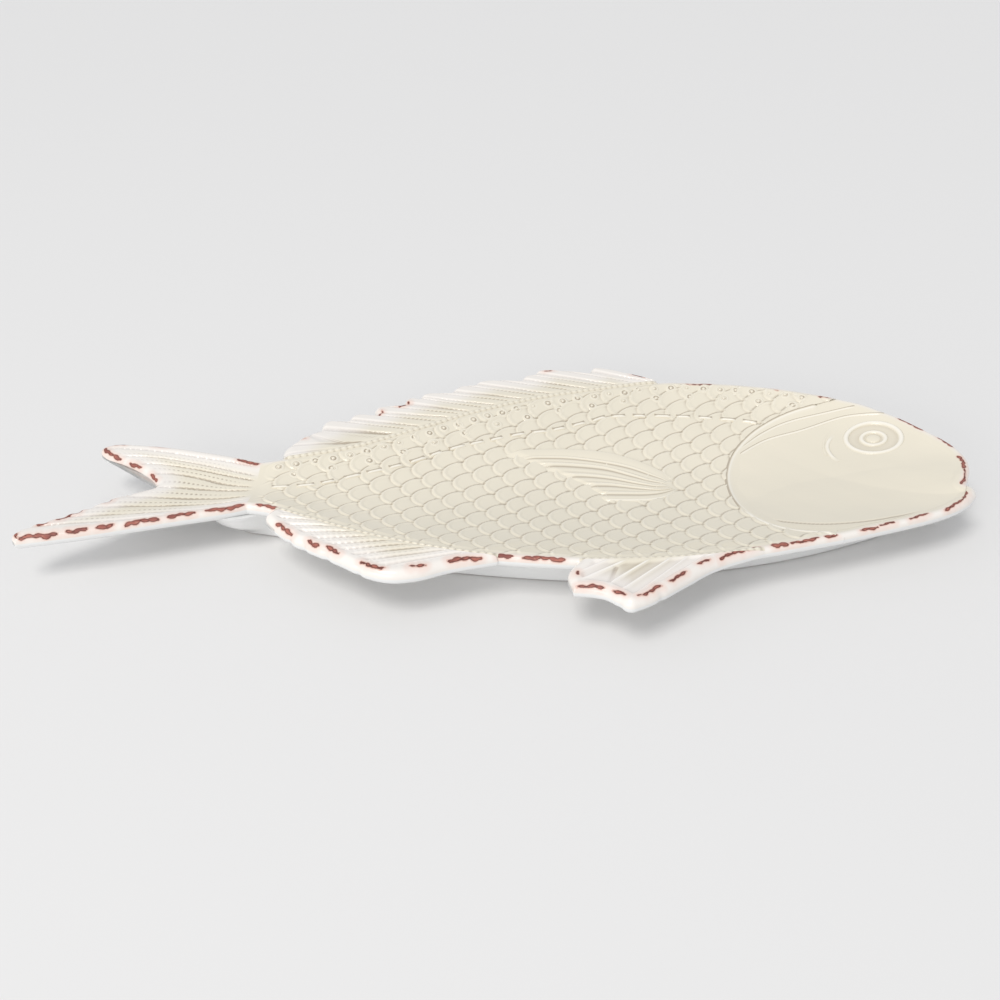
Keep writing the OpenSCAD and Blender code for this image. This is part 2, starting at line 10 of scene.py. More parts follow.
import bpy
import numpy as np
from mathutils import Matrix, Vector


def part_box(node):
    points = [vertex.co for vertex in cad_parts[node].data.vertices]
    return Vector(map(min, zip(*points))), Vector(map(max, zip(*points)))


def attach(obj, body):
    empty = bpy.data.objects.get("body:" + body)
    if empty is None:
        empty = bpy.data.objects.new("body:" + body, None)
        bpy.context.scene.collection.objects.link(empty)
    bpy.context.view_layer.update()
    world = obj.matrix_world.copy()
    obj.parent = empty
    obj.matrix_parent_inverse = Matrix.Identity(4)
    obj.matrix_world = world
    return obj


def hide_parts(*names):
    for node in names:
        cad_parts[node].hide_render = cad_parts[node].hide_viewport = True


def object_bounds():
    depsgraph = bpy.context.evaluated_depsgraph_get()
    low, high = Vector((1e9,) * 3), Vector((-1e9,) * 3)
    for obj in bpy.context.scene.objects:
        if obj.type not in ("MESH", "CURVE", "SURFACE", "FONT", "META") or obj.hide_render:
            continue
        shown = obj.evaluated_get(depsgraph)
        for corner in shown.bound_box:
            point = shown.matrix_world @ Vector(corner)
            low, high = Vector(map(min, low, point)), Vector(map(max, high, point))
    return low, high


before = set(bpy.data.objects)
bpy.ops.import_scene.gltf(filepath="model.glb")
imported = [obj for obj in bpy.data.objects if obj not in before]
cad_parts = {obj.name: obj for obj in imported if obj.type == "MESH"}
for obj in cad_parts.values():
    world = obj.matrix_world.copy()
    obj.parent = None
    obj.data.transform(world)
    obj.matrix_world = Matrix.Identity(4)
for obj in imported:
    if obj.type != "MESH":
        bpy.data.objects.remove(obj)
cad_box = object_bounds()
print("solids:", len(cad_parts), "box:", [round(v, 4) for v in (*cad_box[0], *cad_box[1])])

# %% [markdown]
# A platter is easier to think about in millimetres, so every size below is in millimetres, and
# a mesh is turned to metres when it is laid. The driving sizes come from the frame: the length
# and the width of the whole, the height of its rim, and the foot's bottom at the table.

# %% driving sizes
MM = 0.001


def node_box(name):
    low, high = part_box(name)
    return np.array(low) / MM, np.array(high) / MM


platter_l = round((cad_box[1].x - cad_box[0].x) / MM)
platter_w = round((cad_box[1].y - cad_box[0].y) / MM)
rim_h = round(node_box("head")[1][2], 1)
foot_band_h = node_box("foot_ring")[1][2]
rim_t = 7.6
floor_t = 5.5
base_gap = 3.5
dish_depth = rim_h - base_gap - floor_t
edge_r = rim_t / 2
nose_h = 1.2
print("platter", platter_l, "x", platter_w, "mm, rim at", rim_h, "mm, dish", dish_depth, "mm deep")

# %% [markdown]
# The outline of the fish is a chain of smooth curves. Each is given by the few points that its
# shape needs, as shares of the length and the width, and a curve through four neighbouring
# points at a time fills in the rest. A curve then becomes a line, which knows its own running
# length, so that a place on it can be asked for by its share of the way.

# %% curves
FINE = 12


def smooth(t):
    c = np.clip(t, 0, 1)
    return c * c * (3 - 2 * c)


def both_ends(t, n):
    return smooth(n * t) * smooth(n * (1 - t))


def mix(a, b, t):
    return a + (b - a) * t


def sized(shares):
    return np.array(shares, float) * (platter_l, platter_w)


def curve(shares, closed=False):
    p = sized(shares)
    ends = (p[-1:], p, p[:2]) if closed else (p[:1], p, p[-1:])
    q = np.vstack(ends)
    t = np.linspace(0, 1, FINE, endpoint=False)[:, None]
    parts = []
    for a, b, c, d in zip(q[:-3], q[1:-2], q[2:-1], q[3:]):
        parts.append((2 * b + (c - a) * t + (2 * a - 5 * b + 4 * c - d) * t ** 2
                      + (3 * b - a - 3 * c + d) * t ** 3) / 2)
    return np.vstack(parts) if closed else np.vstack([*parts, p[-1:]])


def normals(line):
    """The unit normals to the left of a line."""
    d = np.gradient(line.points, axis=0)
    d /= np.maximum(np.linalg.norm(d, axis=1), 1e-9)[:, None]
    return np.stack([-d[:, 1], d[:, 0]], -1)


class Line:
    """A line with its running length, so that a place on it is found by its share."""

    def __init__(self, points):
        self.points = np.asarray(points, float)
        steps = np.linalg.norm(np.diff(self.points, axis=0), axis=1)
        self.run = np.concatenate([[0], np.cumsum(steps)])
        self.length = self.run[-1]

    def at(self, share):
        place = np.asarray(share) * self.length
        return np.stack([np.interp(place, self.run, self.points[:, k]) for k in (0, 1)], -1)

    def beside(self, distance):
        return Line(self.points + distance * normals(self))

    def part(self, a, b):
        return Line(self.at(np.linspace(a, b, 40)))


print("a curve takes", FINE, "steps from each of its points to the next")

# %% [markdown]
# These are the curves round the body, the head, the tail and the foot. The same points shape
# the solids, so the skins fit them. The sides of the whole fish are two more lines, from the
# tips of the tail to the mouth, which the hollow of the dish is measured from.

# %% outlines
belly = curve([
    [-0.278, -0.160], [-0.248, -0.176], [-0.200, -0.223], [-0.150, -0.270], [-0.102, -0.305],
    [-0.052, -0.332], [-0.018, -0.344], [0.060, -0.359], [0.124, -0.357], [0.186, -0.344],
    [0.242, -0.320], [0.284, -0.296], [0.326, -0.271]])
back = curve([
    [-0.278, 0.021], [-0.256, 0.035], [-0.180, 0.090], [-0.110, 0.176], [-0.046, 0.258],
    [0.030, 0.332], [0.116, 0.387], [0.180, 0.418], [0.222, 0.418], [0.270, 0.410],
    [0.326, 0.387], [0.374, 0.352], [0.400, 0.324]])
gill = curve([
    [0.326, -0.271], [0.282, -0.232], [0.255, -0.165], [0.240, -0.073], [0.237, 0.019],
    [0.244, 0.100], [0.260, 0.173], [0.290, 0.243], [0.336, 0.297], [0.400, 0.324]])
jaw = curve([[0.326, -0.271], [0.402, -0.216], [0.442, -0.182], [0.470, -0.146], [0.484, -0.114]])
snout = curve([
    [0.484, -0.114], [0.486, -0.094], [0.481, -0.074], [0.488, -0.044], [0.496, -0.008],
    [0.500, 0.031], [0.498, 0.078], [0.490, 0.121], [0.476, 0.168]])
forehead = curve([[0.400, 0.324], [0.420, 0.301], [0.438, 0.266], [0.456, 0.227], [0.476, 0.168]])
tail_low = curve([
    [-0.278, -0.160], [-0.304, -0.180], [-0.356, -0.211], [-0.418, -0.250], [-0.464, -0.275],
    [-0.494, -0.289]])
tail_end = curve([
    [-0.494, -0.289], [-0.500, -0.268], [-0.490, -0.236], [-0.468, -0.203], [-0.444, -0.160],
    [-0.422, -0.112], [-0.401, -0.082], [-0.386, -0.058], [-0.392, -0.030], [-0.409, 0.002],
    [-0.431, 0.030], [-0.453, 0.050], [-0.463, 0.074], [-0.459, 0.090]])
tail_up = curve([
    [-0.278, 0.021], [-0.314, 0.050], [-0.362, 0.077], [-0.412, 0.095], [-0.444, 0.100],
    [-0.459, 0.090]])
foot_outer = curve([
    [-0.300, -0.062], [-0.290, -0.103], [-0.250, -0.126], [-0.190, -0.166], [-0.120, -0.225],
    [-0.058, -0.258], [0.060, -0.285], [0.140, -0.272], [0.206, -0.250], [0.276, -0.215],
    [0.340, -0.168], [0.400, -0.105], [0.432, 0.000], [0.424, 0.105], [0.380, 0.215],
    [0.316, 0.289], [0.240, 0.324], [0.160, 0.316], [0.080, 0.285], [0.000, 0.226],
    [-0.070, 0.150], [-0.140, 0.060], [-0.196, 0.012], [-0.246, -0.010], [-0.288, -0.024]], True)
root = np.array([belly[0], back[0]])
mouth = 3 * FINE
low_side = Line(np.vstack([tail_low[::-1], belly[1:], jaw[1:], snout[1:mouth]]))
high_side = Line(np.vstack([tail_up[::-1], back[1:], forehead[1:], snout[mouth:-1][::-1]]))
print("low side", round(low_side.length), "mm, high side", round(high_side.length), "mm")

# %% [markdown]
# A piece of the platter is a patch between four curves. A place in it is given by two shares,
# one along and one across, and the patch blends its four sides so that it fits them all.
# The ends of the tail's ribs leave soft nicks in the fork, and small beads run along the upper
# edge of the tail.

# %% patches
def patch(low, high, first, last):
    low, high, first, last = Line(low), Line(high), Line(first), Line(last)

    def place(u, v):
        across, along = np.asarray(v)[..., None], np.asarray(u)[..., None]
        corners = mix(mix(low.at(0), high.at(0), across), mix(low.at(1), high.at(1), across), along)
        return mix(low.at(u), high.at(u), across) + mix(first.at(v), last.at(v), along) - corners

    return place


body_place = patch(belly, back, root, gill)
head_place = patch(jaw, forehead, gill, snout)

fork_nicks = (16, 24, 33, 41, 48, 58, 70)


def fork(points):
    """The fork with a soft nick where each rib of the lower lobe ends."""
    line = Line(points)
    place = np.linspace(0, line.length, 240)
    cut = sum(1.3 * np.exp(-((place - nick) / 1.7) ** 2) for nick in fork_nicks)
    way = line.at(place / line.length)
    return way - cut[:, None] * normals(Line(way))


def serrated(points):
    """The upper edge of the tail, with small beads from the root to half way."""
    line = Line(points)
    place = np.linspace(0, line.length, 420)
    lift = 0.45 * np.abs(np.sin(math.pi * place / 2.4)) * smooth((52 - place) / 12) * smooth(place / 6)
    way = line.at(place / line.length)
    return way + lift[:, None] * normals(Line(way)) * np.sign(way[0, 0] - way[-1, 0])


tail_end = fork(tail_end)
tail_up = serrated(tail_up)
tail_place = patch(tail_low, tail_up, root, tail_end)
print("nicks in the fork", len(fork_nicks))

# %% [markdown]
# The free edge of the dorsal fin is a row of rounded tongues, one for each rib. Each tongue
# rises steeply at its tail end and then runs straight until the next one steps out from above
# it. The two small fins have a plain edge with a few soft nicks. So the free edge of a fin is
# a function, and the patch asks it for its places.

# %% fins
class Fin:
    """A patch from a root curve to a free edge, which is a function of the share along it."""

    def __init__(self, base, edge, first, last, roots=(0, 1)):
        self.low, self.edge = Line(base), edge
        self.first, self.last = Line(first), Line(last)
        self.roots = np.array(roots)

    def base(self, u):
        return self.low.at(np.interp(u, np.linspace(0, 1, len(self.roots)), self.roots))

    def place(self, u, v):
        across, along = np.asarray(v)[..., None], np.asarray(u)[..., None]
        start, end = self.edge(np.zeros(1))[0], self.edge(np.ones(1))[0]
        corners = mix(mix(self.low.at(0), start, across), mix(self.low.at(1), end, across), along)
        return (mix(self.base(u), self.edge(u), across)
                + mix(self.first.at(v), self.last.at(v), along) - corners)

    def rim(self):
        return Line(self.edge(np.linspace(0, 1, 420)))


def tongues(notches, noses):
    """A free edge that steps up steeply at each notch, rounds a nose and runs on to the next."""
    n = sized(notches)
    roundness = 0.65
    half_way = math.sin(math.pi / 4) ** roundness
    c = (sized(noses) - (1 - half_way) * (n[:-1] + n[1:])) / (2 * half_way - 1)

    def edge(u):
        step = np.clip(np.floor(np.asarray(u) * len(c)), 0, len(c) - 1).astype(int)
        turn = (np.asarray(u) * len(c) - step)[..., None] * math.pi / 2
        rise, run = np.sin(turn) ** roundness, 1 - np.abs(np.cos(turn)) ** roundness
        return n[step] + (c[step] - n[step]) * rise + (n[step + 1] - c[step]) * run

    return edge


def nicked(points, places, depth, reach):
    """A smooth edge with a soft nick of a depth at each place in mm along it."""
    line = Line(points)
    inward = -normals(line)

    def edge(u):
        run = np.asarray(u) * line.length
        cut = sum(depth * np.exp(-((run - place) / reach) ** 2) for place in places)
        off = np.stack([np.interp(run, line.run, inward[:, k]) for k in (0, 1)], -1)
        return line.at(u) + off * np.broadcast_to(cut, run.shape)[..., None]

    return edge


dorsal_notches = [
    [-0.247, 0.107], [-0.222, 0.161], [-0.193, 0.207], [-0.161, 0.239], [-0.132, 0.290],
    [-0.112, 0.322], [-0.076, 0.355], [-0.048, 0.398], [0.011, 0.424], [0.029, 0.459],
    [0.100, 0.467], [0.180, 0.428]]
dorsal_noses = [
    [-0.238, 0.135], [-0.218, 0.205], [-0.186, 0.240], [-0.162, 0.277], [-0.127, 0.325],
    [-0.106, 0.351], [-0.066, 0.390], [-0.032, 0.424], [0.016, 0.450], [0.043, 0.486],
    [0.114, 0.496]]
dorsal_roots = [0, 0.272, 0.341, 0.426, 0.483, 0.557, 0.634, 0.712, 0.809, 0.891, 0.975, 1]
dorsal_end = curve([[-0.256, 0.035], [-0.257, 0.070], [-0.247, 0.107]])
anal_edge = curve([
    [-0.018, -0.347], [-0.062, -0.372], [-0.092, -0.398], [-0.120, -0.406], [-0.146, -0.388],
    [-0.168, -0.355], [-0.194, -0.320], [-0.220, -0.284], [-0.242, -0.241]])
anal_end = curve([[-0.248, -0.176], [-0.254, -0.204], [-0.242, -0.241]])
pelvic_edge = curve([
    [0.242, -0.320], [0.194, -0.366], [0.163, -0.414], [0.135, -0.460], [0.114, -0.488],
    [0.100, -0.494], [0.080, -0.457], [0.052, -0.447]])
pelvic_end = curve([[0.060, -0.359], [0.048, -0.400], [0.052, -0.447]])

dorsal_base = back[FINE:7 * FINE + 1]
anal_base = belly[FINE:6 * FINE + 1][::-1]
pelvic_base = belly[7 * FINE:10 * FINE + 1][::-1]
dorsal = Fin(dorsal_base, tongues(dorsal_notches, dorsal_noses), dorsal_end,
             sized([[0.180, 0.418], [0.180, 0.428]]), dorsal_roots)
anal = Fin(anal_base, nicked(anal_edge, (71, 92, 107, 117), 0.9, 2.2),
           [anal_base[0], anal_edge[0]], anal_end)
pelvic = Fin(pelvic_base, nicked(pelvic_edge, (66, 90), 0.5, 2.0),
             [pelvic_base[0], pelvic_edge[0]], pelvic_end)
print("tongues of the dorsal fin", len(dorsal_noses))

# %% [markdown]
# Nearly every form below is told by its distance from a line: the dish grows deeper with the
# distance from its sides, the rim is rounded near the free edge, and a ridge stands on its
# line. The nearest point of a line is looked for first, and then its two pieces beside it.

# %% distance from a line
CHUNK = 4000


def near(points, line):
    """Distance of each point from a line, its running place there, and its side of it."""
    flat = np.asarray(points, float).reshape(-1, 2)
    knots = line.points
    best = np.full(len(flat), 1e9)
    place = np.zeros(len(flat))
    side = np.zeros(len(flat))
    for start in range(0, len(flat), CHUNK):
        p = flat[start:start + CHUNK]
        square = (knots ** 2).sum(1)[None] - 2 * p @ knots.T
        nearest = np.argmin(square, axis=1)
        for shift in (-1, 0):
            k = np.clip(nearest + shift, 0, len(knots) - 2)
            a, d = knots[k], knots[k + 1] - knots[k]
            size = np.maximum((d * d).sum(1), 1e-12)
            t = np.clip(((p - a) * d).sum(1) / size, 0, 1)
            away = p - a - d * t[:, None]
            gap = np.sqrt((away ** 2).sum(1))
            better = gap < best[start:start + CHUNK]
            rows = start + np.nonzero(better)[0]
            best[rows] = gap[better]
            place[rows] = (line.run[k] + t * np.sqrt(size))[better]
            side[rows] = np.sign(d[:, 0] * away[:, 1] - d[:, 1] * away[:, 0])[better]
    shape = np.asarray(points).shape[:-1]
    return best.reshape(shape), place.reshape(shape), side.reshape(shape)


free_edges = {
    "tail_low": Line(tail_low), "tail_end": Line(tail_end), "tail_up": Line(tail_up),
    "back_tail": Line(back[:FINE + 1]), "back_head": Line(back[7 * FINE:]),
    "belly_tail": Line(belly[:FINE + 1]), "belly_middle": Line(belly[6 * FINE:7 * FINE + 1]),
    "belly_head": Line(belly[10 * FINE:]), "jaw": Line(jaw), "snout": Line(snout),
    "forehead": Line(forehead), "dorsal": dorsal.rim(), "dorsal_end": dorsal.first,
    "anal": anal.rim(), "anal_start": anal.first, "anal_end": anal.last,
    "pelvic": pelvic.rim(), "pelvic_start": pelvic.first, "pelvic_end": pelvic.last,
}


def edge_gap(points):
    best = np.full(np.asarray(points).shape[:-1], 1e9)
    for line in free_edges.values():
        best = np.minimum(best, near(points, line)[0])
    return best


print("free edge", round(sum(line.length for line in free_edges.values())), "mm")

# %% [markdown]
# The dish is deepest half way between its two sides and runs out to nothing at the rim, so its
# depth is the product of the two distances over their sum. The clay is a little thinner at the
# bottom than at the rim. A potter's sponge rounds the free edge, which here is a quarter
# circle above and one below, and leaves the surface very slightly uneven.

# %% the dish
hollow_slope = 4 * dish_depth / (0.76 * platter_w)
tail_hollow_share = 0.12


def hollow(p):
    a, _, left = near(p, low_side)
    b, _, right = near(p, high_side)
    a, b = np.where(left < 0, 0, a), np.where(right > 0, 0, b)
    tip = tail_end[4][0]
    tail = smooth((p[..., 0] - tip) / (root[0][0] - tip))
    return hollow_slope * a * b / np.maximum(a + b, nose_h) * mix(tail_hollow_share, 1, tail)


def lip(gap):
    inner = np.clip(1 - gap / edge_r, 0, 1)
    return (edge_r - nose_h / 2) * (1 - np.sqrt(1 - inner ** 2))


def wobble(p):
    x, y = p[..., 0], p[..., 1]
    return (0.10 * np.sin(x / 9 + y / 14) * np.sin(y / 8 - x / 23)
            + 0.05 * np.sin(x / 4.1 + 1.3) * np.sin(y / 4.7 + x / 19))


def top_z(p, gap=None):
    z = rim_h - hollow(p)
    return z if gap is None else z - lip(gap)


def under_z(p, gap):
    deep = hollow(p)
    return rim_h - deep - mix(rim_t, floor_t, np.clip(deep / dish_depth, 0, 1)) + lip(gap)


print("floor of the dish at", round(float(top_z(np.array([[60.0, 6.0]]))[0]), 1), "mm")

# %% [markdown]
# Where the glaze ran thin over a sharp edge, or was wiped off it before the firing, the red
# clay shows as short lobed strokes. They follow the shoulder of the rim. For each edge the
# table gives the side of the line that the platter lies on and half the width of the strokes.
# For each stroke it then gives where it starts and stops along the edge, and how far it lies
# inside the edge at its start and at its stop, all in mm. Two entries lie on an edge that has
# strokes of another width as well, so they have a name of their own.

# %% worn strokes
LEFT, RIGHT = 1, -1
wear_strokes = {
    "tail_low": (RIGHT, 1.15, [
        (93, 110, 1.3, 1.2), (79, 88, 1.8, 1.5), (66, 74, 1.8, 1.5), (44, 60, 1.5, 1.0),
        (26, 39, 2.2, 1.2), (1, 20, 1.2, 1.8)]),
    "belly_tail": (LEFT, 1.15, [(5, 16, 1.8, 2.4)]),
    "tail_end": (RIGHT, 0.95, [
        (1, 6, 1.6, 2.2), (21, 25, 3.5, 3.5), (33, 36, 3.8, 3.2), (38, 46, 3.0, 1.5), (60, 62, 1.4, 1.4),
        (95, 102, 0.9, 0.8), (111, 119, 1.5, 0.9), (126, 142, 1.3, 2.6)]),
    "tail_up": (LEFT, 0.8, [(86, 92, 1.9, 1.2), (62, 68, 1.0, 1.4), (0, 13, 3.0, 3.4)]),
    "belly_middle": (LEFT, 1.05, [(0, 7, 1.0, 1.0), (12, 32, 1.2, 1.2)]),
    "belly_head": (LEFT, 0.85, [(15, 30, 1.6, 1.9), (34, 40, 1.9, 1.9)]),
    "belly_blot": (LEFT, 1.7, [(5, 12, 1.8, 1.6)]),
    "jaw": (LEFT, 0.75, [(10, 20, 1.3, 1.3), (22, 30, 2.1, 2.1), (40, 52, 1.9, 2.9), (62, 87, 1.6, 4.5)]),
    "snout": (LEFT, 0.85, [(11, 16, 2.7, 1.7), (28, 44, 3.0, 3.7), (55, 67, 1.7, 1.9)]),
    "mouth": (LEFT, 0.4, [(16, 28, 1.8, 2.8)]),
    "forehead": (RIGHT, 0.75, [(38, 55, 1.9, 1.9)]),
    "back_head": (RIGHT, 0.75, [(100, 107, 3.7, 3.3), (73, 75, 3.9, 3.9), (18, 34, 4.0, 3.3)]),
    "dorsal": (RIGHT, 0.7, [
        (3, 4.5, 3.5, 3.8), (65, 67, 3.7, 3.9), (88, 93, 4.0, 2.8), (206, 211, 4.5, 4.2),
        (272, 282, 2.6, 2.0)]),
    "anal": (RIGHT, 1.0, [
        (8, 24, 1.2, 2.6), (35, 43, 3.6, 4.2), (57, 71, 3.8, 2.6), (85, 93, 2.9, 2.4),
        (98, 106, 2.1, 2.1), (117, 130, 1.6, 2.2)]),
    "pelvic": (RIGHT, 0.8, [
        (1, 25, 3.0, 2.3), (30, 37, 3.9, 4.4), (46, 58, 3.4, 3.6), (64, 78, 3.1, 3.6),
        (90, 96, 3.4, 1.8), (100, 112, 1.6, 1.5)]),
    "pelvic_end": (LEFT, 0.8, [(11, 15, 4.3, 5.0)]),
}
edge_names = {"belly_blot": "belly_head", "mouth": "snout"}
print("strokes", sum(len(stretches) for _, _, stretches in wear_strokes.values()))

# %% [markdown]
# Each stroke becomes a path in space that wanders a little and swells into lobes, and every
# vertex is then told how far it lies from the border of the nearest one. The glaze reads that
# distance, so a stroke keeps a sharp border on a fairly coarse skin.

# %% stroke paths
FAR = 9.0


def stroke_paths():
    paths = []
    for name, (side, half_width, stretches) in wear_strokes.items():
        edge = free_edges[edge_names.get(name, name)]
        normal = side * normals(edge)
        for a, b, inset_a, inset_b in stretches:
            place = np.linspace(a, min(b, edge.length), max(6, int(2.5 * (b - a))))
            at = np.stack([np.interp(place, edge.run, edge.points[:, k]) for k in (0, 1)], -1)
            off = np.stack([np.interp(place, edge.run, normal[:, k]) for k in (0, 1)], -1)
            lobes = 0.22 * np.sin(place / 0.66 + 2 * a) + 0.16 * np.sin(place / 1.7 + 5 * a)
            ends = smooth((place - a) / 1.6) * smooth((place[-1] - place) / 1.6)
            half = half_width * (0.9 + lobes) * (0.65 + 0.35 * ends)
            drift = 0.35 * np.sin(place / 2.6 + a) + 0.25 * np.sin(place / 0.9 + 3 * a)
            inset = mix(inset_a, inset_b, (place - a) / (b - a)) + half_width * drift
            at = at + inset[:, None] * off
            height = top_z(at, edge_gap(at))
            paths.append(np.column_stack([at, height, half]))
    return paths


strokes = stroke_paths()
print("places on the strokes", sum(len(path) for path in strokes))


def wear(points):
    """Distance in mm from the border of the nearest worn stroke, below 0 inside one."""
    flat = points.reshape(-1, 3)
    best = np.full(len(flat), FAR)
    reach = 8
    for path in strokes:
        low, high = path[:, :3].min(0) - reach, path[:, :3].max(0) + reach
        rows = np.nonzero(((flat > low) & (flat < high)).all(1))[0]
        if len(rows) == 0:
            continue
        p = flat[rows][:, None]
        a, d = path[:-1, :3], np.diff(path[:, :3], axis=0)
        t = np.clip(((p - a) * d).sum(-1) / np.maximum((d * d).sum(-1), 1e-9), 0, 1)
        gap = np.linalg.norm(p - a - d * t[..., None], axis=-1) - mix(path[:-1, 3], path[1:, 3], t)
        best[rows] = np.minimum(best[rows], gap.min(1))
    return best.reshape(points.shape[:-1])


# %% [markdown]
# A skin is a grid primitive whose vertices are laid on the surface that was worked out above,
# one for the glazed face and one for the underside. Bridge joins them along their two sides,
# and their ends are filled. A formula lays hundreds of scales more evenly than pulling them up by
# hand would, and the skins of neighbouring pieces meet without a step.

# %% laying a skin
def deselect():
    bpy.ops.object.select_all(action="DESELECT")


def only(piece):
    deselect()
    piece.select_set(True)
    bpy.context.view_layer.objects.active = piece


def lay(name, points, **attributes):
    """A grid primitive laid on rows and columns of points, with one value a point for each name."""
    rows, columns = points.shape[:2]
    deselect()
    bpy.ops.mesh.primitive_grid_add(x_subdivisions=columns - 1, y_subdivisions=rows - 1, size=1)
    piece = bpy.context.object
    piece.name = piece.data.name = name
    piece.data.vertices.foreach_set("co", (points * MM).astype(np.float32).ravel())
    for key in ("wear", "cavity", "rim", "under"):
        values = attributes.get(key, FAR if key in ("wear", "rim") else 0.0)
        values = np.broadcast_to(values, points.shape[:2]).astype(np.float32)
        piece.data.attributes.new(key, "FLOAT", "POINT").data.foreach_set("value", values.ravel())
    piece.data.update()
    return piece


def pick(piece, rows):
    """Goes to edit mode with just these vertices selected."""
    only(piece)
    chosen = np.zeros(len(piece.data.vertices), bool)
    chosen[rows] = True
    piece.data.polygons.foreach_set("select", np.zeros(len(piece.data.polygons), bool))
    piece.data.edges.foreach_set("select", np.zeros(len(piece.data.edges), bool))
    piece.data.vertices.foreach_set("select", chosen)
    bpy.ops.object.mode_set(mode="EDIT")
    bpy.ops.mesh.select_mode(type="VERT")


WELD = bpy.ops.mesh.remove_doubles, {"threshold": 2e-6}
FILL = bpy.ops.mesh.fill_holes, {"sides": 0}
OUTWARDS = bpy.ops.mesh.normals_make_consistent, {"inside": False}


def work(piece, *steps, crease=None):
    """Runs each step in edit mode on all of a piece, and shades it smooth up to a crease."""
    only(piece)
    bpy.ops.object.mode_set(mode="EDIT")
    for step, options in steps:
        bpy.ops.mesh.select_all(action="SELECT")
        step(**options)
    bpy.ops.object.mode_set(mode="OBJECT")
    if crease:
        bpy.ops.object.shade_smooth_by_angle(angle=math.radians(crease))
    return piece


def close(top, under, top_shape, under_shape):
    """Joins two skins with as many rows, bridges their two sides and fills the ends."""
    first = np.arange(top_shape[0] * top_shape[1]).reshape(top_shape)
    second = first.size + np.arange(under_shape[0] * under_shape[1]).reshape(under_shape)
    only(top)
    under.select_set(True)
    bpy.ops.object.join()
    for column in (0, -1):
        pick(top, np.concatenate([first[:, column], second[:, column]]))
        bpy.ops.mesh.bridge_edge_loops()
        bpy.ops.object.mode_set(mode="OBJECT")
    return work(top, WELD, FILL, OUTWARDS, crease=60)


# %% [markdown]
# The places of a skin lie closer together where the rim is rounded. The colour is darker in a hollow,
# which is pooled glaze with painted shade. It is paler on a raised edge, which is thin glaze with a
# painted highlight, and pinker near the rim. So a skin also tells each vertex how far it stands above the
# relief round it, and how far it lies from the nose of the rim.

# %% places and hollows
def hollows(height, reach):
    """How far each place of a relief lies above the blurred relief round it."""
    soft = height.copy()
    for _ in range(2):
        for axis in (0, 1):
            padded = np.concatenate([np.repeat(np.take(soft, [0], axis), reach, axis), soft,
                                     np.repeat(np.take(soft, [-1], axis), reach, axis)], axis)
            total = np.cumsum(padded, axis=axis)
            size = soft.shape[axis]
            upper = np.take(total, np.arange(2 * reach, 2 * reach + size), axis)
            lower = np.take(total, np.arange(0, size), axis)
            soft = (upper - lower) / (2 * reach)
    return height - soft


def width_at(place, u):
    """How wide a patch is at each share along it."""
    return np.linalg.norm(place(u, np.ones(len(u))) - place(u, np.zeros(len(u))), axis=1)


def across(width, columns, rounded=7):
    """Places across a skin, closer together on the two rounded edges."""
    bend = edge_r * (1 - np.cos(np.linspace(0, math.pi / 2, rounded)))
    bend = np.minimum(bend / np.asarray(width)[..., None], 0.2 * bend / edge_r)
    inner = np.linspace(0, 1, columns - 2 * rounded + 2)[1:-1]
    middle = mix(bend[..., -1:], 1 - bend[..., -1:], inner)
    return np.concatenate([bend, middle, 1 - bend[..., ::-1]], -1)


def section(gap):
    """Running length from the nose of the rim, round its shoulder and inwards."""
    inner = np.clip(1 - gap / edge_r, 0, 1)
    return edge_r * np.arccos(inner) + np.maximum(gap - edge_r, 0)


print("the shoulder of the rim runs for", round(float(section(edge_r)), 1), "mm")

# %% [markdown]
# A finished piece is handed to the frame. It rides on the platter's one body and stands for the solid
# that it dresses.

# %% keeping a piece
pieces = {}


def keep(piece, *nodes, slot="glaze"):
    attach(piece, "root")
    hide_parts(*nodes)
    pieces[piece.name] = piece
    triangles = sum(len(face.vertices) - 2 for face in piece.data.polygons)
    print(piece.name, triangles, "triangles")


# %% [markdown]
# The scales lie in columns across the body, every second column half a scale further, like
# tiles on a roof. Each is a disc with its round edge towards the tail, highest at that edge
# and sinking under the next column. They were pressed from a carved mould, so no two are quite
# alike. Laying the discs in order from the tail, each over the last, gives just that relief.
# On the side of a disc towards the back, a dark line below its edge is pooled glaze with painted shade.
# On the side towards the belly, a broad pale rim is thin glaze with a painted highlight.

# %% scales
scale_pitch = 8.5
scale_w = 19.6
scale_step = 1.0
scale_r = scale_w / 2
scale_lean = 0.26


def scatter(a, b, seed):
    """A number between -1 and 1 for each pair of whole numbers, the same in every run."""
    v = np.sin(a * 12.9898 + b * 78.233 + seed * 37.719) * 43758.5453
    return 2 * (v - np.floor(v)) - 1


def scale_field(p):
    """Each place's column, and its row across the body, as numbers that grow along and across.
    The columns lean to the head, more so towards the back, and spread a little at the belly."""
    x, y = p[..., 0] / 100, p[..., 1] / 100
    column = 100 / scale_pitch * (x - scale_lean * y) - 0.2 * y - 0.75 * x * y - 1.07 * y * y
    row = 100 / scale_w * y + 0.22 * x + 0.23 * x * x - 0.36 * x * y + 0.22 * y * y
    return column, row


def discs(p):
    """For each disc near a place: how many columns its tip lies back, how far the place lies
    inside its edge, and the direction out of it."""
    s, t = scale_field(p)
    for step in range(-2, 3):
        column = np.floor(s) + step
        half = np.mod(column, 2) / 2
        row = np.round(t - half)
        tip = column + 0.05 * scatter(column, row, 1)
        centre_t = row + half + 0.025 * scatter(column, row, 2)
        radius = scale_r * (1 + 0.03 * scatter(column, row, 3))
        dx = np.minimum((s - tip) * scale_pitch - radius, 0)
        dy = (t - centre_t) * scale_w
        away = np.hypot(dx, dy)
        size = np.maximum(away, 1e-6)
        yield s - tip, radius - away, dx / size, dy / size


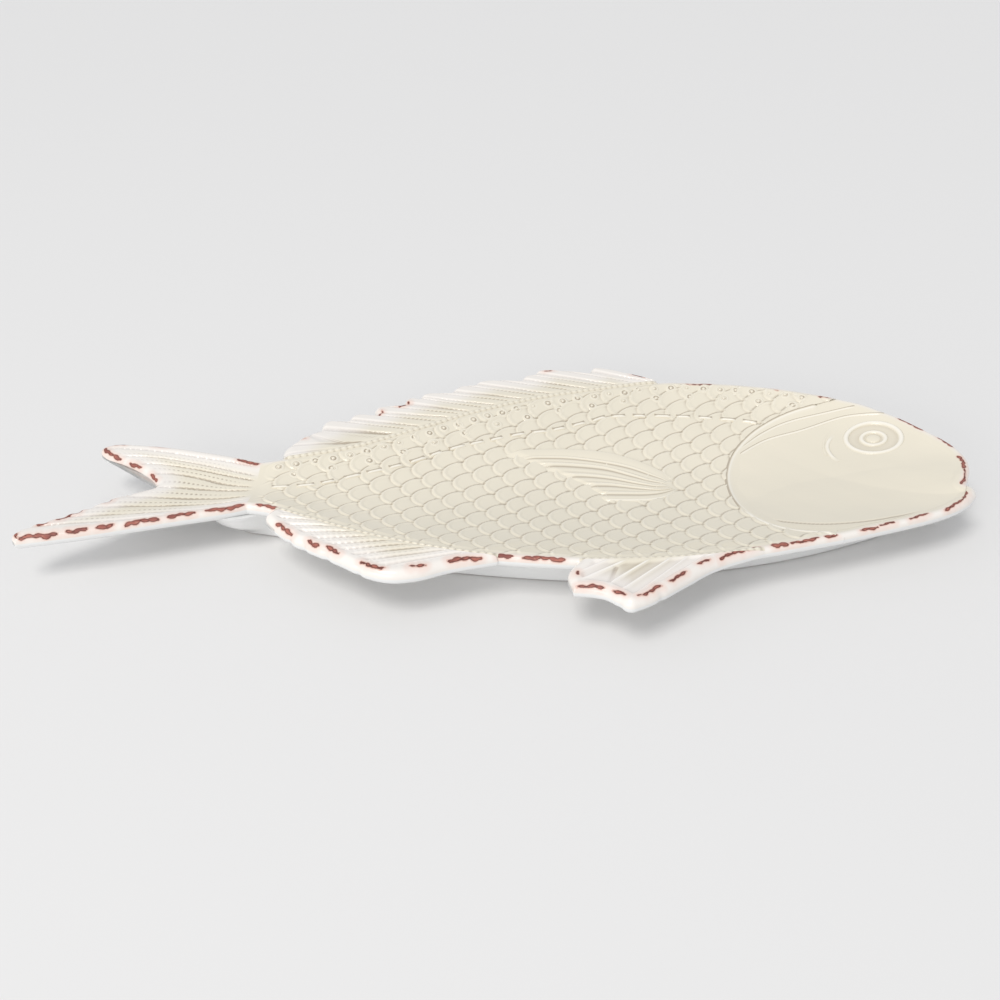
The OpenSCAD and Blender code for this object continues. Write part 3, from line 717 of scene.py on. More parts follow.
def scales(p):
    """Height of the scales, and their pooled glaze and painted shade beside the edges, less a painted
    highlight on the rims towards the belly.
    """
    height = np.zeros(p.shape[:-1])
    pool_and_shade = np.zeros(p.shape[:-1])
    for back_way, inside, _, out_y in discs(p):
        # far is 1 on the side of a disc towards the back, away from the viewer. There the foot line is
        # deeper and darker, a painted shade, while on the belly side the rim is painted pale, a painted
        # highlight.
        far = smooth(0.62 + 0.75 * out_y)
        foot = np.exp(-((inside + 0.4) / 0.55) ** 2) * (0.35 + 0.65 * far)
        height = height - 0.35 * foot
        crown = scale_step * (1 - 0.8 * np.clip(back_way, 0, 2.4) / 2.2)
        trough = np.exp(-((inside - 2.8) / 0.7) ** 2)
        bead = 0.34 * np.exp(-((inside - 1.2) / 0.8) ** 2) - 0.08 * trough
        height = mix(height, crown + bead, smooth((inside + 0.1) / 1.05))
        rim = np.exp(-((inside - mix(1.5, 0.9, far)) / mix(1.45, 0.7, far)) ** 2)
        own_pool_and_highlight = 0.3 * trough - (1.9 - 1.1 * far) * rim
        pool_and_shade = mix(np.maximum(pool_and_shade, foot), own_pool_and_highlight, smooth((inside - 0.1) / 0.3))
    return height, pool_and_shade


print("scales about", scale_w, "mm wide, one each", scale_pitch, "mm")

# %% [markdown]
# The step at the edge of a scale is less than a millimetre wide, finer than an even grid could
# follow. So the grid's places are first drawn towards the nearest edge that shows. The scales
# end at the root of the tail and fade out beside the rim, and the two faces of the body are
# joined along its sides.

# %% scaled body
def gather(p, reach=2.4, power=1.6):
    """Moves places towards the nearest visible edge of a scale, so that the skin has more
    vertices where the relief steps."""
    best = np.full(p.shape[:-1], reach)
    shift = np.zeros(p.shape)
    for _, inside, out_x, out_y in discs(p):
        covered = inside > 0.4
        best = np.where(covered, reach, best)
        shift[covered] = 0
        size = np.abs(inside)
        nearer = size < best
        pull = np.sign(inside) * (size - reach * (size / reach) ** power)
        best = np.where(nearer, size, best)
        shift[..., 0] = np.where(nearer, pull * (out_x + scale_lean * out_y), shift[..., 0])
        shift[..., 1] = np.where(nearer, pull * out_y, shift[..., 1])
    return p + shift


body_rows, body_columns, under_columns = 412, 204, 36
scales_end = -137


def scaled_body():
    u = np.linspace(0, 1, body_rows)
    width = width_at(body_place, u)
    v = across(width, body_columns)
    p = body_place(np.broadcast_to(u[:, None], v.shape), v)
    low, high = near(p, low_side)[0], near(p, high_side)[0]
    inner = smooth((low - 3) / 6) * smooth((high - 2.5) / 5)
    inner = inner * smooth((u[:, None] - 0.004) / 0.012) * smooth((1 - u[:, None]) / 0.004)
    p = mix(p, gather(p), inner[..., None])
    gap = edge_gap(p)
    low, high = near(p, low_side)[0], near(p, high_side)[0]
    fade = smooth((low - 3.2) / 3.2) * smooth((high - 2.2) / 2.6)
    fade = fade * smooth((p[..., 0] - scales_end) / 8)
    relief, pool_and_shade = (layer * fade for layer in scales(p))
    points = np.dstack([p, top_z(p, gap) + relief + wobble(p) * smooth(gap / 5)])
    # Places above the blurred relief are painted paler and places below it darker, a painted highlight
    # and painted shade, added to the pooled glaze and shade of the scales.
    cavity = 0.35 * hollows(relief, 4) - 0.34 * pool_and_shade
    top = lay("scaled_body_skin", points, wear=wear(points), cavity=cavity, rim=section(gap))
    few = across(width, under_columns)
    p = body_place(np.broadcast_to(u[:, None], few.shape), few)
    gap = edge_gap(p)
    points = np.dstack([p, under_z(p, gap)])
    under = lay("under", points, under=1, wear=wear(points))
    return close(top, under, v.shape, few.shape)


keep(scaled_body(), "scaled_body")

# %% [markdown]
# The head is smooth but for its lines, and so the glaze runs level on it. A soft ledge runs
# inside the rim, deepest along the jaw, where a thin crease follows it. The eye has a shallow
# moat. Both faces have the same places here, and the end that is filled is the narrow band
# round the snout.

# %% head
def end_on(count):
    """Places along a skin whose last edge is free, closer together there."""
    bend = 0.028 * (1 - np.cos(np.linspace(0, math.pi / 2, 8)))
    return np.concatenate([np.linspace(0, 1 - bend[-1], count - 7), 1 - bend[::-1][1:]])


def both_skins(name, place, u, v, relief, rim_share=1.0, dished=True):
    """A closed piece whose glazed face and underside have the same places. The glaze is pale
    near the rim, and further inwards the smaller the rim share is."""
    p = place(np.broadcast_to(u[:, None], v.shape), v)
    gap = edge_gap(p)
    raised, pool_and_shade = relief(p, u[:, None], v, gap)
    plain = top_z(p, gap) if dished else rim_h - lip(gap)
    points = np.dstack([p, plain + raised + wobble(p) * smooth(gap / 5)])
    # Places above the blurred relief are painted paler and places below it darker, a painted highlight
    # and painted shade, added to the relief's own pooled glaze and shade.
    cavity = 0.5 * hollows(raised, 3) - pool_and_shade
    top = lay(name, points, wear=wear(points), cavity=cavity, rim=rim_share * section(gap))
    points = np.dstack([p, under_z(p, gap) if dished else rim_h - rim_t + lip(gap)])
    under = lay("under", points, under=1, wear=wear(points))
    return close(top, under, v.shape, v.shape)


jaw_crease = Line(curve([
    [0.239, -0.075], [0.251, -0.116], [0.266, -0.152], [0.293, -0.180], [0.327, -0.197],
    [0.362, -0.197], [0.397, -0.181], [0.430, -0.157]]))
eye = sized([0.417, 0.167])


def head_relief(p, u, v, gap):
    ledge = 0.5 * smooth((gap - 5.5) / 2.6) * (0.2 + 0.8 * smooth((0.5 - v) * 5))
    distance, place, side = near(p, jaw_crease)
    ends = both_ends(place / jaw_crease.length, 5)
    crease = 0.45 * np.exp(-np.where(side < 0, distance / 4.0, distance / 0.8) ** 2)
    line = 0.4 * np.exp(-(distance / 0.6) ** 2)
    radius = np.linalg.norm(p - eye, axis=-1)
    moat = smooth((14.4 - radius) / 1.2) * smooth((radius - 7.0) / 1.2) + smooth((5.8 - radius) / 1.0)
    # The crease line and the moat are painted darker, pooled glaze with painted shade.
    return -ledge * smooth(u * 6) - crease * ends - 0.3 * moat, line * ends + 0.16 * moat


def patch_skins(name, place, rows, columns, relief, rim_share=1.0):
    u = end_on(rows)
    return both_skins(name, place, u, across(width_at(place, u), columns), relief, rim_share)


keep(patch_skins("head_skin", head_place, 200, 170, head_relief), "head")

# %% [markdown]
# The ribs of the tail fan out from its root to the fork. Between two smooth bands runs a
# groove, and the grooves were pricked with a point all along, so they read as dotted lines.

# %% tail
tail_grooves_root = [0.02, 0.07, 0.20, 0.305, 0.46, 0.535, 0.66, 0.74, 0.90]
tail_grooves_end = [0.085, 0.19, 0.31, 0.43, 0.56, 0.685, 0.775, 0.865, 0.955]


def beads(run, pitch=3.1):
    return 0.5 + 0.5 * np.cos(2 * math.pi * run / pitch)


def tail_relief(p, u, v, gap):
    root_line = np.array([-0.07, *tail_grooves_root, 1.06])
    end_line = np.array([-0.02, *tail_grooves_end, 1.04])
    phase = np.empty(v.shape)
    for i, share in enumerate(u[:, 0]):
        phase[i] = np.interp(v[i], mix(root_line, end_line, smooth(share * 1.1)), np.arange(11.0))
    part = phase % 1
    run = np.linalg.norm(p - p[:1], axis=-1) + 1.3 * np.floor(phase)
    groove = np.exp(-(np.minimum(part, 1 - part) / mix(0.11, 0.06, u)) ** 2)
    second = np.exp(-((part - 0.44) / 0.06) ** 2) * smooth(u * 2.2)
    third = np.exp(-((part - 0.72) / 0.05) ** 2) * smooth(u * 1.6 - 0.3)
    fade = smooth(u * 9) * smooth((gap - 2.0) / 3.0)
    crown = 0.4 * np.sin(math.pi * part) ** 0.6
    cuts = groove * (0.4 + 0.35 * beads(run)) + (0.25 * second + 0.1 * third) * beads(run + 1.2, 2.6)
    # The grooves and their pricks are painted darker, pooled glaze with painted shade.
    pool_and_shade = groove * (0.35 + 0.6 * beads(run)) + (0.55 * second + 0.25 * third) * beads(run + 1.2, 2.6)
    return fade * (crown - 0.15 - cuts), fade * pool_and_shade


keep(patch_skins("tail_skin", tail_place, 220, 170, tail_relief, 0.4), "tail_fin")

# %% [markdown]
# The side fins are level, and only the dish between them is hollow. Each tongue of the dorsal
# fin has a smooth band on its tail side and a pricked band on the other, with a dotted groove
# where the next tongue lies over it. Two long grooves run along the lowest two tongues.

# %% dorsal fin
def fin_skins(name, fin, rows, columns, relief):
    u = np.linspace(0, 1, rows)
    bend = edge_r * (1 - np.cos(np.linspace(0, math.pi / 2, 8)))
    size = np.linalg.norm(fin.edge(u) - fin.base(u), axis=1)[:, None]
    bend = np.minimum(bend / np.maximum(size, 1), 0.35 * bend / edge_r)
    inner = mix(0, 1 - bend[:, -1:], np.linspace(0, 1, columns - 7)[None])
    v = np.concatenate([inner, 1 - bend[:, ::-1][:, 1:]], 1)
    return both_skins(name, fin.place, u, v, relief, rim_share=0.3, dished=False)


def dorsal_relief(p, u, v, gap):
    number = len(dorsal_noses) * u + 0 * v
    part = number % 1
    run = np.linalg.norm(p - p[:, :1], axis=-1) + 2.0 * np.floor(number)
    groove = np.exp(-(np.minimum(part, 1 - part) / 0.05) ** 2) * (u > 0.02)
    for seam in ([(-128, 11.5), (-94, 19)], [(-124, 21.5), (-75, 27.5)]):
        groove = np.maximum(groove, np.exp(-(near(p, Line(seam))[0] / 0.8) ** 2))
    band = 0.5 * smooth((part - 0.02) / 0.1) * smooth((0.55 - part) / 0.12)
    far_band = 0.35 * smooth((part - 0.56) / 0.1) * smooth((1 - part) / 0.1)
    pricks = 0.5 * np.exp(-((part - 0.60) / 0.05) ** 2) + 0.3 * np.exp(-((part - 0.86) / 0.05) ** 2)
    fade = smooth(v * 14) * smooth((gap - 0.6) / 1.6)
    cuts = groove * (0.45 + 0.4 * beads(run, 2.9)) + 0.6 * pricks * beads(run + 1.4, 2.5)
    # The grooves and the pricks are painted darker, pooled glaze with painted shade.
    pool_and_shade = groove * (0.5 + 0.4 * beads(run, 2.9)) + pricks * beads(run + 1.4, 2.5)
    return fade * (band + far_band - cuts), fade * pool_and_shade


keep(fin_skins("dorsal_skin", dorsal, 661, 64, dorsal_relief), "dorsal_fin")

# %% [markdown]
# The two small fins have plainer ribs that run at a slant to a thick plain rim. Each groove is
# a straight line, and counting the lines that a place has passed gives the rib that it is on.

# %% small fins
def rib_number(p, lines):
    """Number of the rib at a place, which grows by one from each straight line to the next."""
    x, y = p[..., 0], p[..., 1]
    levels = [b[1] + (x - b[0]) * (a[1] - b[1]) / (a[0] - b[0]) for a, b in lines]
    number = np.clip((levels[0] - y) / 5 + 1, 0, 1)
    for upper, lower in zip(levels[:-1], levels[1:]):
        number = number + np.clip((upper - y) / np.maximum(upper - lower, 0.8), 0, 1)
    return number + np.clip((levels[-1] - y) / 5, 0, 1)


anal_grooves = [
    [(-107, -56), (-96, -58)], [(-107, -61.3), (-89, -62.6)], [(-107, -67), (-79, -67.2)],
    [(-97, -73.5), (-71, -71.2)], [(-92, -79), (-59.5, -75)], [(-86, -84), (-52, -78.5)],
    [(-82, -89), (-46, -81.5)], [(-76, -93.5), (-35, -84)], [(-64, -97), (-26, -86)],
    [(-50, -99.5), (-18, -87.5)]]
pelvic_ridges = [
    [(28.6, -103.3), (39, -96.2)], [(27, -111), (47, -96.8)], [(41.6, -113.6), (59.7, -96.2)],
    [(48.4, -117), (71.3, -93.8)], [(55.4, -119.5), (80, -92.5)], [(63.4, -117), (87, -93)]]


def anal_relief(p, u, v, gap):
    number = rib_number(p, anal_grooves)
    part = number % 1
    run = p[..., 0] + 1.7 * np.floor(number)
    crown = 0.75 * np.sin(math.pi * part) ** 0.6
    groove = np.exp(-(np.minimum(part, 1 - part) / 0.13) ** 2) * (0.5 + 0.4 * beads(run))
    second = 0.3 * np.exp(-((part - 0.5) / 0.09) ** 2) * beads(run + 1, 2.7)
    fade = smooth(v * 9) * smooth((gap - 4.6) / 2.4)
    rim = 0.45 * (1 - fade) * smooth(gap / 3.4) * smooth(v * 9)
    # The grooves are painted darker, pooled glaze with painted shade.
    return fade * (crown - 0.35 - groove - second) + rim, fade * (0.6 * groove + second)


def pelvic_relief(p, u, v, gap):
    number = rib_number(p, pelvic_ridges)
    part = (number + 0.5) % 1 - 0.5
    ridge = np.exp(-(part / 0.13) ** 2)
    notch = near(p, Line([(47, -99), (42, -114)]))[0]
    fade = smooth(v * 7) * smooth((gap - 5.4) / 2.2)
    slit = np.exp(-(notch / 0.9) ** 2)
    valley = 1.05 * ridge - 0.5 - 0.7 * slit
    # The valleys and the slit are painted darker and the ridges paler: pooled and thin glaze, with
    # painted shade and a painted highlight.
    return fade * valley + 0.4 * (1 - fade) * smooth(gap / 4), fade * (0.24 + 0.3 * slit - 0.6 * ridge)


keep(fin_skins("anal_skin", anal, 300, 60, anal_relief), "anal_fin")
keep(fin_skins("pelvic_skin", pelvic, 220, 64, pelvic_relief), "pelvic_fin")

# %% [markdown]
# The pectoral fin was carved as a leaf of long ribs that lies on the scales. A thick band runs
# along its upper edge, and below it thin ridges run together at the root by the gill. Each
# ridge starts further from the tip than the last, so the lower edge is a flight of rounded
# tongues. One grid is stretched over the seven lines of the ridges, from each to the next.

# %% pectoral fin
pectoral_ribs = [
    [[-0.014, 0.113], [0.003, 0.134], [0.019, 0.145], [0.066, 0.159], [0.105, 0.157], [0.135, 0.136],
     [0.161, 0.102], [0.186, 0.044]],
    [[0.003, 0.107], [0.034, 0.118], [0.065, 0.123], [0.103, 0.114], [0.133, 0.097], [0.162, 0.061],
     [0.183, 0.031]],
    [[0.026, 0.091], [0.064, 0.097], [0.102, 0.091], [0.132, 0.065], [0.153, 0.044], [0.182, 0.026]],
    [[0.054, 0.053], [0.078, 0.058], [0.108, 0.051], [0.137, 0.032], [0.159, 0.021], [0.182, 0.023]],
    [[0.080, 0.020], [0.107, 0.023], [0.136, 0.011], [0.163, 0.003], [0.182, 0.019]],
    [[0.095, -0.015], [0.120, -0.013], [0.150, -0.012], [0.168, -0.002], [0.183, 0.015]],
    [[0.097, -0.047], [0.119, -0.049], [0.148, -0.045], [0.168, -0.026], [0.184, 0.014]]]


def bridge_free_edges():
    bpy.ops.mesh.select_all(action="DESELECT")
    bpy.ops.mesh.select_non_manifold(use_wire=False, use_multi_face=False,
                                     use_non_contiguous=False, use_verts=False)
    bpy.ops.mesh.bridge_edge_loops()


def thicken(piece, depth):
    """Closes an open skin with a copy of itself straight below it in the clay."""
    down = {"TRANSFORM_OT_translate": {"value": (0, 0, -depth * MM)}}
    return work(piece, (bpy.ops.mesh.duplicate_move, down), (bridge_free_edges, {}), OUTWARDS,
                crease=60)


def pectoral_fin():
    rows, columns = 230, 133
    share = np.linspace(0, 1, rows)
    number = np.linspace(0, 6, columns)[None]
    lines = np.array([Line(curve(rib)).at(share) for rib in pectoral_ribs])
    low = np.clip(np.floor(number).astype(int), 0, 5)
    part = number - low
    s = np.broadcast_to(share[:, None], (rows, columns))
    tongue = 0.30 * (1 - s) ** 3 * (part * (1 - part))
    row = np.arange(rows)[:, None]
    p = mix(lines[low, row], lines[low + 1, row], part[..., None])
    p = p - np.stack([tongue * platter_l * 0.1, 0 * tongue], -1)
    ridge = np.exp(-(np.minimum(part, 1 - part) / 0.17) ** 2) * (number > 0.5)
    fine = 0.22 * np.exp(-((part - 0.5) / 0.12) ** 2)
    flat = 0.40 + 0.80 * ridge + fine
    band = smooth((1.02 - number) / 0.1)
    thick = 0.95 * np.sin(math.pi * np.clip(0.12 + 0.82 * number, 0, 1)) ** 0.5
    body = mix(flat, thick, band) * mix(1, 0.5, smooth((s - 0.6) / 0.4))
    ends = smooth(s * 9) * smooth((1 - s) * 8)
    sides = smooth(number * 5) * smooth((6 - number) * 4)
    relief = (0.75 + body) * ends * sides
    # A dark line just below each ridge is painted shade over pooled glaze. Places above the blurred
    # relief are painted paler, a painted highlight.
    pool_and_shade = 0.35 * np.exp(-((part - 0.25) / 0.09) ** 2) * (number > 1) * ends
    points = np.dstack([p, top_z(p) + 0.05 + relief])
    piece = lay("pectoral_skin", points, cavity=0.6 * hollows(relief, 4) - pool_and_shade)
    return thicken(piece, 1.2)


keep(pectoral_fin(), "pectoral_fin")

# %% [markdown]
# The raised lines of the head and the beaded ridges at the roots of the fins are laid slips of clay. A
# strip follows its line with a section of a few points, so the gill cover can step up steeply on its tail
# side and fade away slowly on the other. A shade for each point of the section paints it darker below 0
# and paler above 0. That is painted shade over pooled glaze on a steep side that faces away from the
# viewer, and a painted highlight on a side that faces the viewer. A ring has no ends, so its grid is
# wrapped round the whole section, and Merge by Distance closes it where it meets itself.

# %% raised lines
STRIP_STEP = 0.8
bead_pitch = 3.8


def strip(name, line, offsets, heights, ends=4.0, bead=0.0, closed=False, lift=0.0, shade=0.0,
          pale_start=0.0):
    """Lays a ridge on a line, lower towards its ends. A shade below 0 darkens it, but not before
    the share of a pale start."""
    count = max(8, int(line.length / STRIP_STEP))
    share = np.linspace(0, 1, count + 1)
    way = line.at(share)
    d = np.gradient(way, axis=0)
    if closed:
        d[0] = d[-1] = way[1] - way[-2]
    d /= np.linalg.norm(d, axis=1)[:, None]
    normal = np.stack([-d[:, 1], d[:, 0]], -1)
    p = way[:, None] + np.asarray(offsets)[None, :, None] * normal[:, None]
    run = share * line.length
    tall = np.ones(count + 1) if closed else smooth(run / ends) * smooth((line.length - run) / ends)
    dip = bead * (0.5 - 0.5 * np.cos(2 * math.pi * run / bead_pitch))
    tall = tall * (1 - dip)
    relief = np.asarray(heights)[None] * tall[:, None]
    points = np.dstack([p, top_z(p, edge_gap(p)) + lift + relief])
    # Below 0 the shade paints the section darker and above 0 paler. Raised places are painted paler and
    # the dips between beads darker. These are painted shade and a painted highlight over pooled and thin
    # glaze.
    pale = np.asarray(shade) * smooth((share[:, None] - pale_start) / 0.1 + 1)
    cavity = 0.35 * relief - 0.7 * dip[:, None] + pale
    if not closed:
        return thicken(lay(name, points, cavity=cavity), 0.5 + lift)
    below = (points - (0, 0, 0.5 + lift))[:, ::-1]
    points = np.concatenate([points, below, points[:, :1]], 1)
    cavity = np.concatenate([cavity, cavity[:, ::-1], cavity[:, :1]], 1)
    return work(lay(name, points, cavity=cavity), WELD, OUTWARDS, crease=60)


def round_back(width, height, points=9):
    across_line = np.linspace(-0.5, 0.5, points)
    return across_line * width, height * np.cos(math.pi * across_line) ** 0.8 - 0.05


gill_offsets = [-7.5, -5.5, -3.5, -2.2, -1.3, -0.8, -0.3, 0.1, 0.5, 0.9, 1.3]
gill_heights = [-0.06, 0.1, 0.26, 0.48, 0.74, 0.88, 0.96, 0.95, 0.80, 0.3, -0.25]
# The steep tail side is painted dark, painted shade over pooled glaze. The lower part of the arc faces
# the viewer and is left pale.
gill_shade = [0, 0, 0, 0, 0.1, -0.3, -0.9, -1, -1, -1, -1]
gill_step = strip("gill_step", Line(gill).part(0.02, 0.93), gill_offsets, gill_heights,
                  shade=gill_shade, pale_start=0.36)
keep(gill_step, "gill_ridge")

# %% [markdown]
# Two lines run from the gill past the eye. Each is one strip, and join makes one piece of them,
# because the solids have them as one too.

# %% cheek lines
def join(parts, name):
    only(parts[0])
    for part in parts:
        part.select_set(True)
    bpy.ops.object.join()
    parts[0].name = parts[0].data.name = name
    return parts[0]


cheek_paths = [
    [[0.261, 0.165], [0.296, 0.227], [0.338, 0.267], [0.413, 0.291]],
    [[0.259, 0.146], [0.296, 0.200], [0.340, 0.227], [0.397, 0.260], [0.441, 0.247]],
]
# The side of each line towards the back, away from the viewer, is painted dark, painted shade over pooled
# glaze. The side towards the belly is painted a little paler, a painted highlight.
cheek_shade = [0.1, 0.2, 0.2, -0.3, -0.8, -1.1, -1.1]
cheek_section = [-0.9, -0.5, -0.1, 0.3, 0.7, 1.1, 1.5], [-0.05, 0.16, 0.36, 0.5, 0.44, 0.25, -0.1]
cheeks = [strip("cheek", Line(curve(path)), *cheek_section, ends=6, shade=cheek_shade)
          for path in cheek_paths]
keep(join(cheeks, "cheek_lines"), "cheek_ridges")

# %% [markdown]
# The eye is two turned rings with a shallow moat between them and a domed pupil. The brow is a
# pair of short arcs between the eye and the gill.

# %% eye and brow
def circle(radius):
    angle = 2 * math.pi * np.linspace(0, 1, 161)
    return Line(eye + radius * np.stack([np.cos(angle), np.sin(angle)], -1))


# A shade of 0.1 paints the rings a little paler, a painted highlight over thin glaze.
keep(strip("eye_ring", circle(15.2), *round_back(3.3, 0.75), closed=True, shade=0.1), "eye_outer_ring")
keep(strip("eye_inner", circle(6.6), *round_back(2.8, 0.65), closed=True, shade=0.1), "eye_inner_ring")


def dome(name, centre, radii, heights, shade, around=32, lift=0.0):
    """A round sprig whose section is given from its middle outwards, standing on the clay."""
    angle = np.linspace(0, 2 * math.pi, around + 1)
    ring = np.stack([np.cos(angle), np.sin(angle)], -1)
    p = centre + np.asarray(radii)[:, None, None] * ring[None]
    rise = np.broadcast_to(np.asarray(heights, float)[:, None], p.shape[:2])
    points = np.dstack([p, top_z(p) + lift + rise])
    piece = lay(name, points, cavity=np.broadcast_to(np.asarray(shade)[:, None], rise.shape))
    return thicken(work(piece, WELD), 0.6)


pupil_radii = [0, 1.0, 2.0, 2.8, 3.4, 3.8, 4.1]
pupil_heights = [0.75, 0.72, 0.62, 0.48, 0.28, 0.06, -0.3]
keep(dome("pupil_dome", eye, pupil_radii, pupil_heights, [0] * len(pupil_radii)), "pupil")

brow_paths = [
    [[0.376, 0.201], [0.367, 0.176], [0.363, 0.151], [0.364, 0.120], [0.369, 0.094]],
    [[0.374, 0.213], [0.364, 0.187], [0.359, 0.151], [0.359, 0.124]],
]
# The brow is painted a little paler, a painted highlight over thin glaze.
brows = [strip("brow", Line(curve(brow_paths[0])), *round_back(2.6, 0.55), ends=7, shade=0.12),
         strip("brow_far", Line(curve(brow_paths[1])), *round_back(1.6, 0.3), ends=7)]
keep(join(brows, "brow_lines"), "brow_ridge")

# %% [markdown]
# The pearls of the back are eyelets: a soft mound with a pressed ring and a small bead left
# inside it. One is laid for each place in the two rows, a little off its place and its size,
# as by hand.

# %% pearls
pearl_inset = 7.5
pearl_radii = [0, 0.5, 0.85, 1.1, 1.35, 1.6, 1.95, 2.4, 2.9, 3.4, 3.8]
pearl_heights = [0.80, 0.74, 0.50, 0.18, 0.05, 0.20, 0.42, 0.36, 0.20, 0.0, -0.3]
# The pressed ring is painted dark, painted shade over pooled glaze. The bead and the outer crest are a
# little paler, a painted highlight.
pearl_shade = [0.2, 0.1, -0.2, -0.7, -0.8, -0.6, 0.2, 0.15, 0.0, 0.0, 0.0]


def pearl_row(name, inset, pitch, start, size):
    line = Line(back[FINE // 2:11 * FINE - 1]).beside(-inset)
    count = int(line.length / pitch)
    parts = []
    for i in range(count):
        centre = line.at((i + start) / count) + 0.5 * np.array([scatter(i, 1, 5), scatter(i, 2, 6)])
        radii = np.array(pearl_radii) * size * (1 + 0.08 * scatter(i, 3, 7))
        parts.append(dome("pearl", centre, radii, pearl_heights, pearl_shade, around=20, lift=0.55))
    return join(parts, name)


keep(pearl_row("pearls_outer", pearl_inset, 10, 0.5, 1.0), "outer_pearls")
keep(pearl_row("pearls_inner", 2 * pearl_inset, 20, 0.6, 1.05), "inner_pearls")

# %% [markdown]
# The lateral line is a row of short dashes that climbs over the scales. Each is a strip with a painted
# highlight on its side towards the belly. Its back side, away from the viewer, has a painted shade over a
# pool of glaze.

# %% dashes
lateral = Line(curve([
    [-0.265, -0.070], [-0.219, -0.051], [-0.170, -0.004], [-0.123, 0.046], [-0.070, 0.119],
    [-0.022, 0.169], [0.013, 0.200], [0.048, 0.223], [0.092, 0.262], [0.119, 0.284],
    [0.190, 0.296], [0.261, 0.281], [0.296, 0.262]]))
dash_section = [-1.4, -1.1, -0.7, -0.2, 0.2, 0.9, 1.4], [-0.05, 0.3, 0.5, 0.5, 0.36, 0.1, -0.2]
# The belly side of a dash is painted a little paler, a painted highlight. Its back side, away from the
# viewer, is painted dark, painted shade over pooled glaze.
dash_shade = [0.1, 0.2, 0.2, -0.3, -1.2, -1.3, -1.3]


def lateral_dashes(dash_l=8.5, dash_pitch=13.0):
    count = int(lateral.length / dash_pitch)
    parts = []
    for i in range(count):
        start = (i + 0.2) / count
        way = lateral.part(start, start + dash_l * (1 + 0.15 * scatter(i, 4, 8)) / lateral.length)
        parts.append(strip("dash", way, *dash_section, ends=2, lift=1.05, shade=dash_shade))
    return join(parts, "lateral_dashes")


keep(lateral_dashes(), "lateral_line")

# %% [markdown]
# A beaded ridge covers the seam where a fin was luted to the body. It is a strip whose height
# swings along its way, and it lies just inside the seam.

# %% root ridges
root_section = round_back(2.4, 0.8)
ridge = strip("dorsal_root", Line(dorsal_base).beside(-1.3), *root_section, bead=0.55)
keep(ridge, "dorsal_root_ridge")
ridges = [strip("belly_root", Line(base).beside(-1.3), *root_section, bead=0.55)
          for base in (anal_base, pelvic_base)]
keep(join(ridges, "belly_roots"), "belly_root_ridge")

# %% [markdown]
# The foot is a wall that the potter thumbs onto the underside. It is glazed down to a band at
# its bottom, which is wiped bare so that it doesn't stick to the kiln shelf.

# %% foot
toe_start, toe_l = -0.24 * platter_l, 24


def foot_rings(levels):
    """Closed rings of points. Each level is an inset from the foot's outer curve, a height, the
    share of the way from there up to the clay, and how far it leans out there as such a share,
    at first along the sides and then at the tail end, where the foot runs out in a long toe."""
    outline = Line(np.vstack([foot_outer, foot_outer[:1]]))
    way = outline.at(np.linspace(0, 1, 420))
    d = np.roll(way[:-1], -1, 0) - np.roll(way[:-1], 1, 0)
    d /= np.linalg.norm(d, axis=1)[:, None]
    normal = np.stack([-d[:, 1], d[:, 0]], -1)
    normal = np.vstack([normal, normal[:1]])
    inside = np.full(len(way), FAR)
    clay = under_z(way, inside)
    rings = []
    toe = smooth((toe_start - way[:, 0]) / toe_l)
    for inset, height, share, lean, toe_lean in levels:
        p = way + (inset - mix(lean, toe_lean, toe) * clay)[:, None] * normal
        z = mix(height, under_z(p, inside), share)
        rings.append(np.column_stack([p, z]))
    return np.array(rings)


def foot(name, levels):
    points = foot_rings(levels)
    return work(lay(name, points, under=1), WELD, OUTWARDS, crease=50)


foot_w, band = 5.5, foot_band_h
wall_levels = [
    (1.1, 0.3, 0, 0, 0), (0.35, 0.7, 0, 0, 0), (0.05, 1.4, 0, 0, 0), (0, band, 0, 0, 0.05),
    (0, band, 0.2, 0, 0.22), (0, band, 0.35, 0.005, 0.52), (0, band, 0.6, 0.03, 0.85),
    (0, band, 0.8, 0.09, 1.0), (0, band, 0.92, 0.17, 1.08), (0, band, 1.0, 0.28, 1.14),
    (0, band, 1.06, 0.3, 1.16), (foot_w, band, 1.06, -0.1, -0.1), (foot_w, band, 0.7, 0, 0),
    (foot_w, band, 0, 0, 0), (foot_w - 1.1, 0.3, 0, 0, 0), (1.1, 0.3, 0, 0, 0)]
ring_levels = [
    (1.4, band, 0, 0, 0), (1.3, 0.9, 0, 0, 0), (1.2, 0.35, 0, 0, 0), (1.4, 0.12, 0, 0, 0),
    (1.9, 0, 0, 0, 0), (foot_w - 1.9, 0, 0, 0, 0), (foot_w - 1.4, 0.12, 0, 0, 0),
    (foot_w - 1.2, 0.35, 0, 0, 0), (foot_w - 1.3, 0.9, 0, 0, 0), (foot_w - 1.4, band, 0, 0, 0),
    (1.4, band, 0, 0, 0)]
keep(foot("foot_glazed", wall_levels), "foot_wall")
keep(foot("foot_bare", ring_levels), "foot_ring", slot="clay")

# %% [markdown]
# A shader is written as sums. A small class wraps a socket, so that adding or multiplying two
# of them adds a Math node, and one method adds any other node with its settings and inputs.

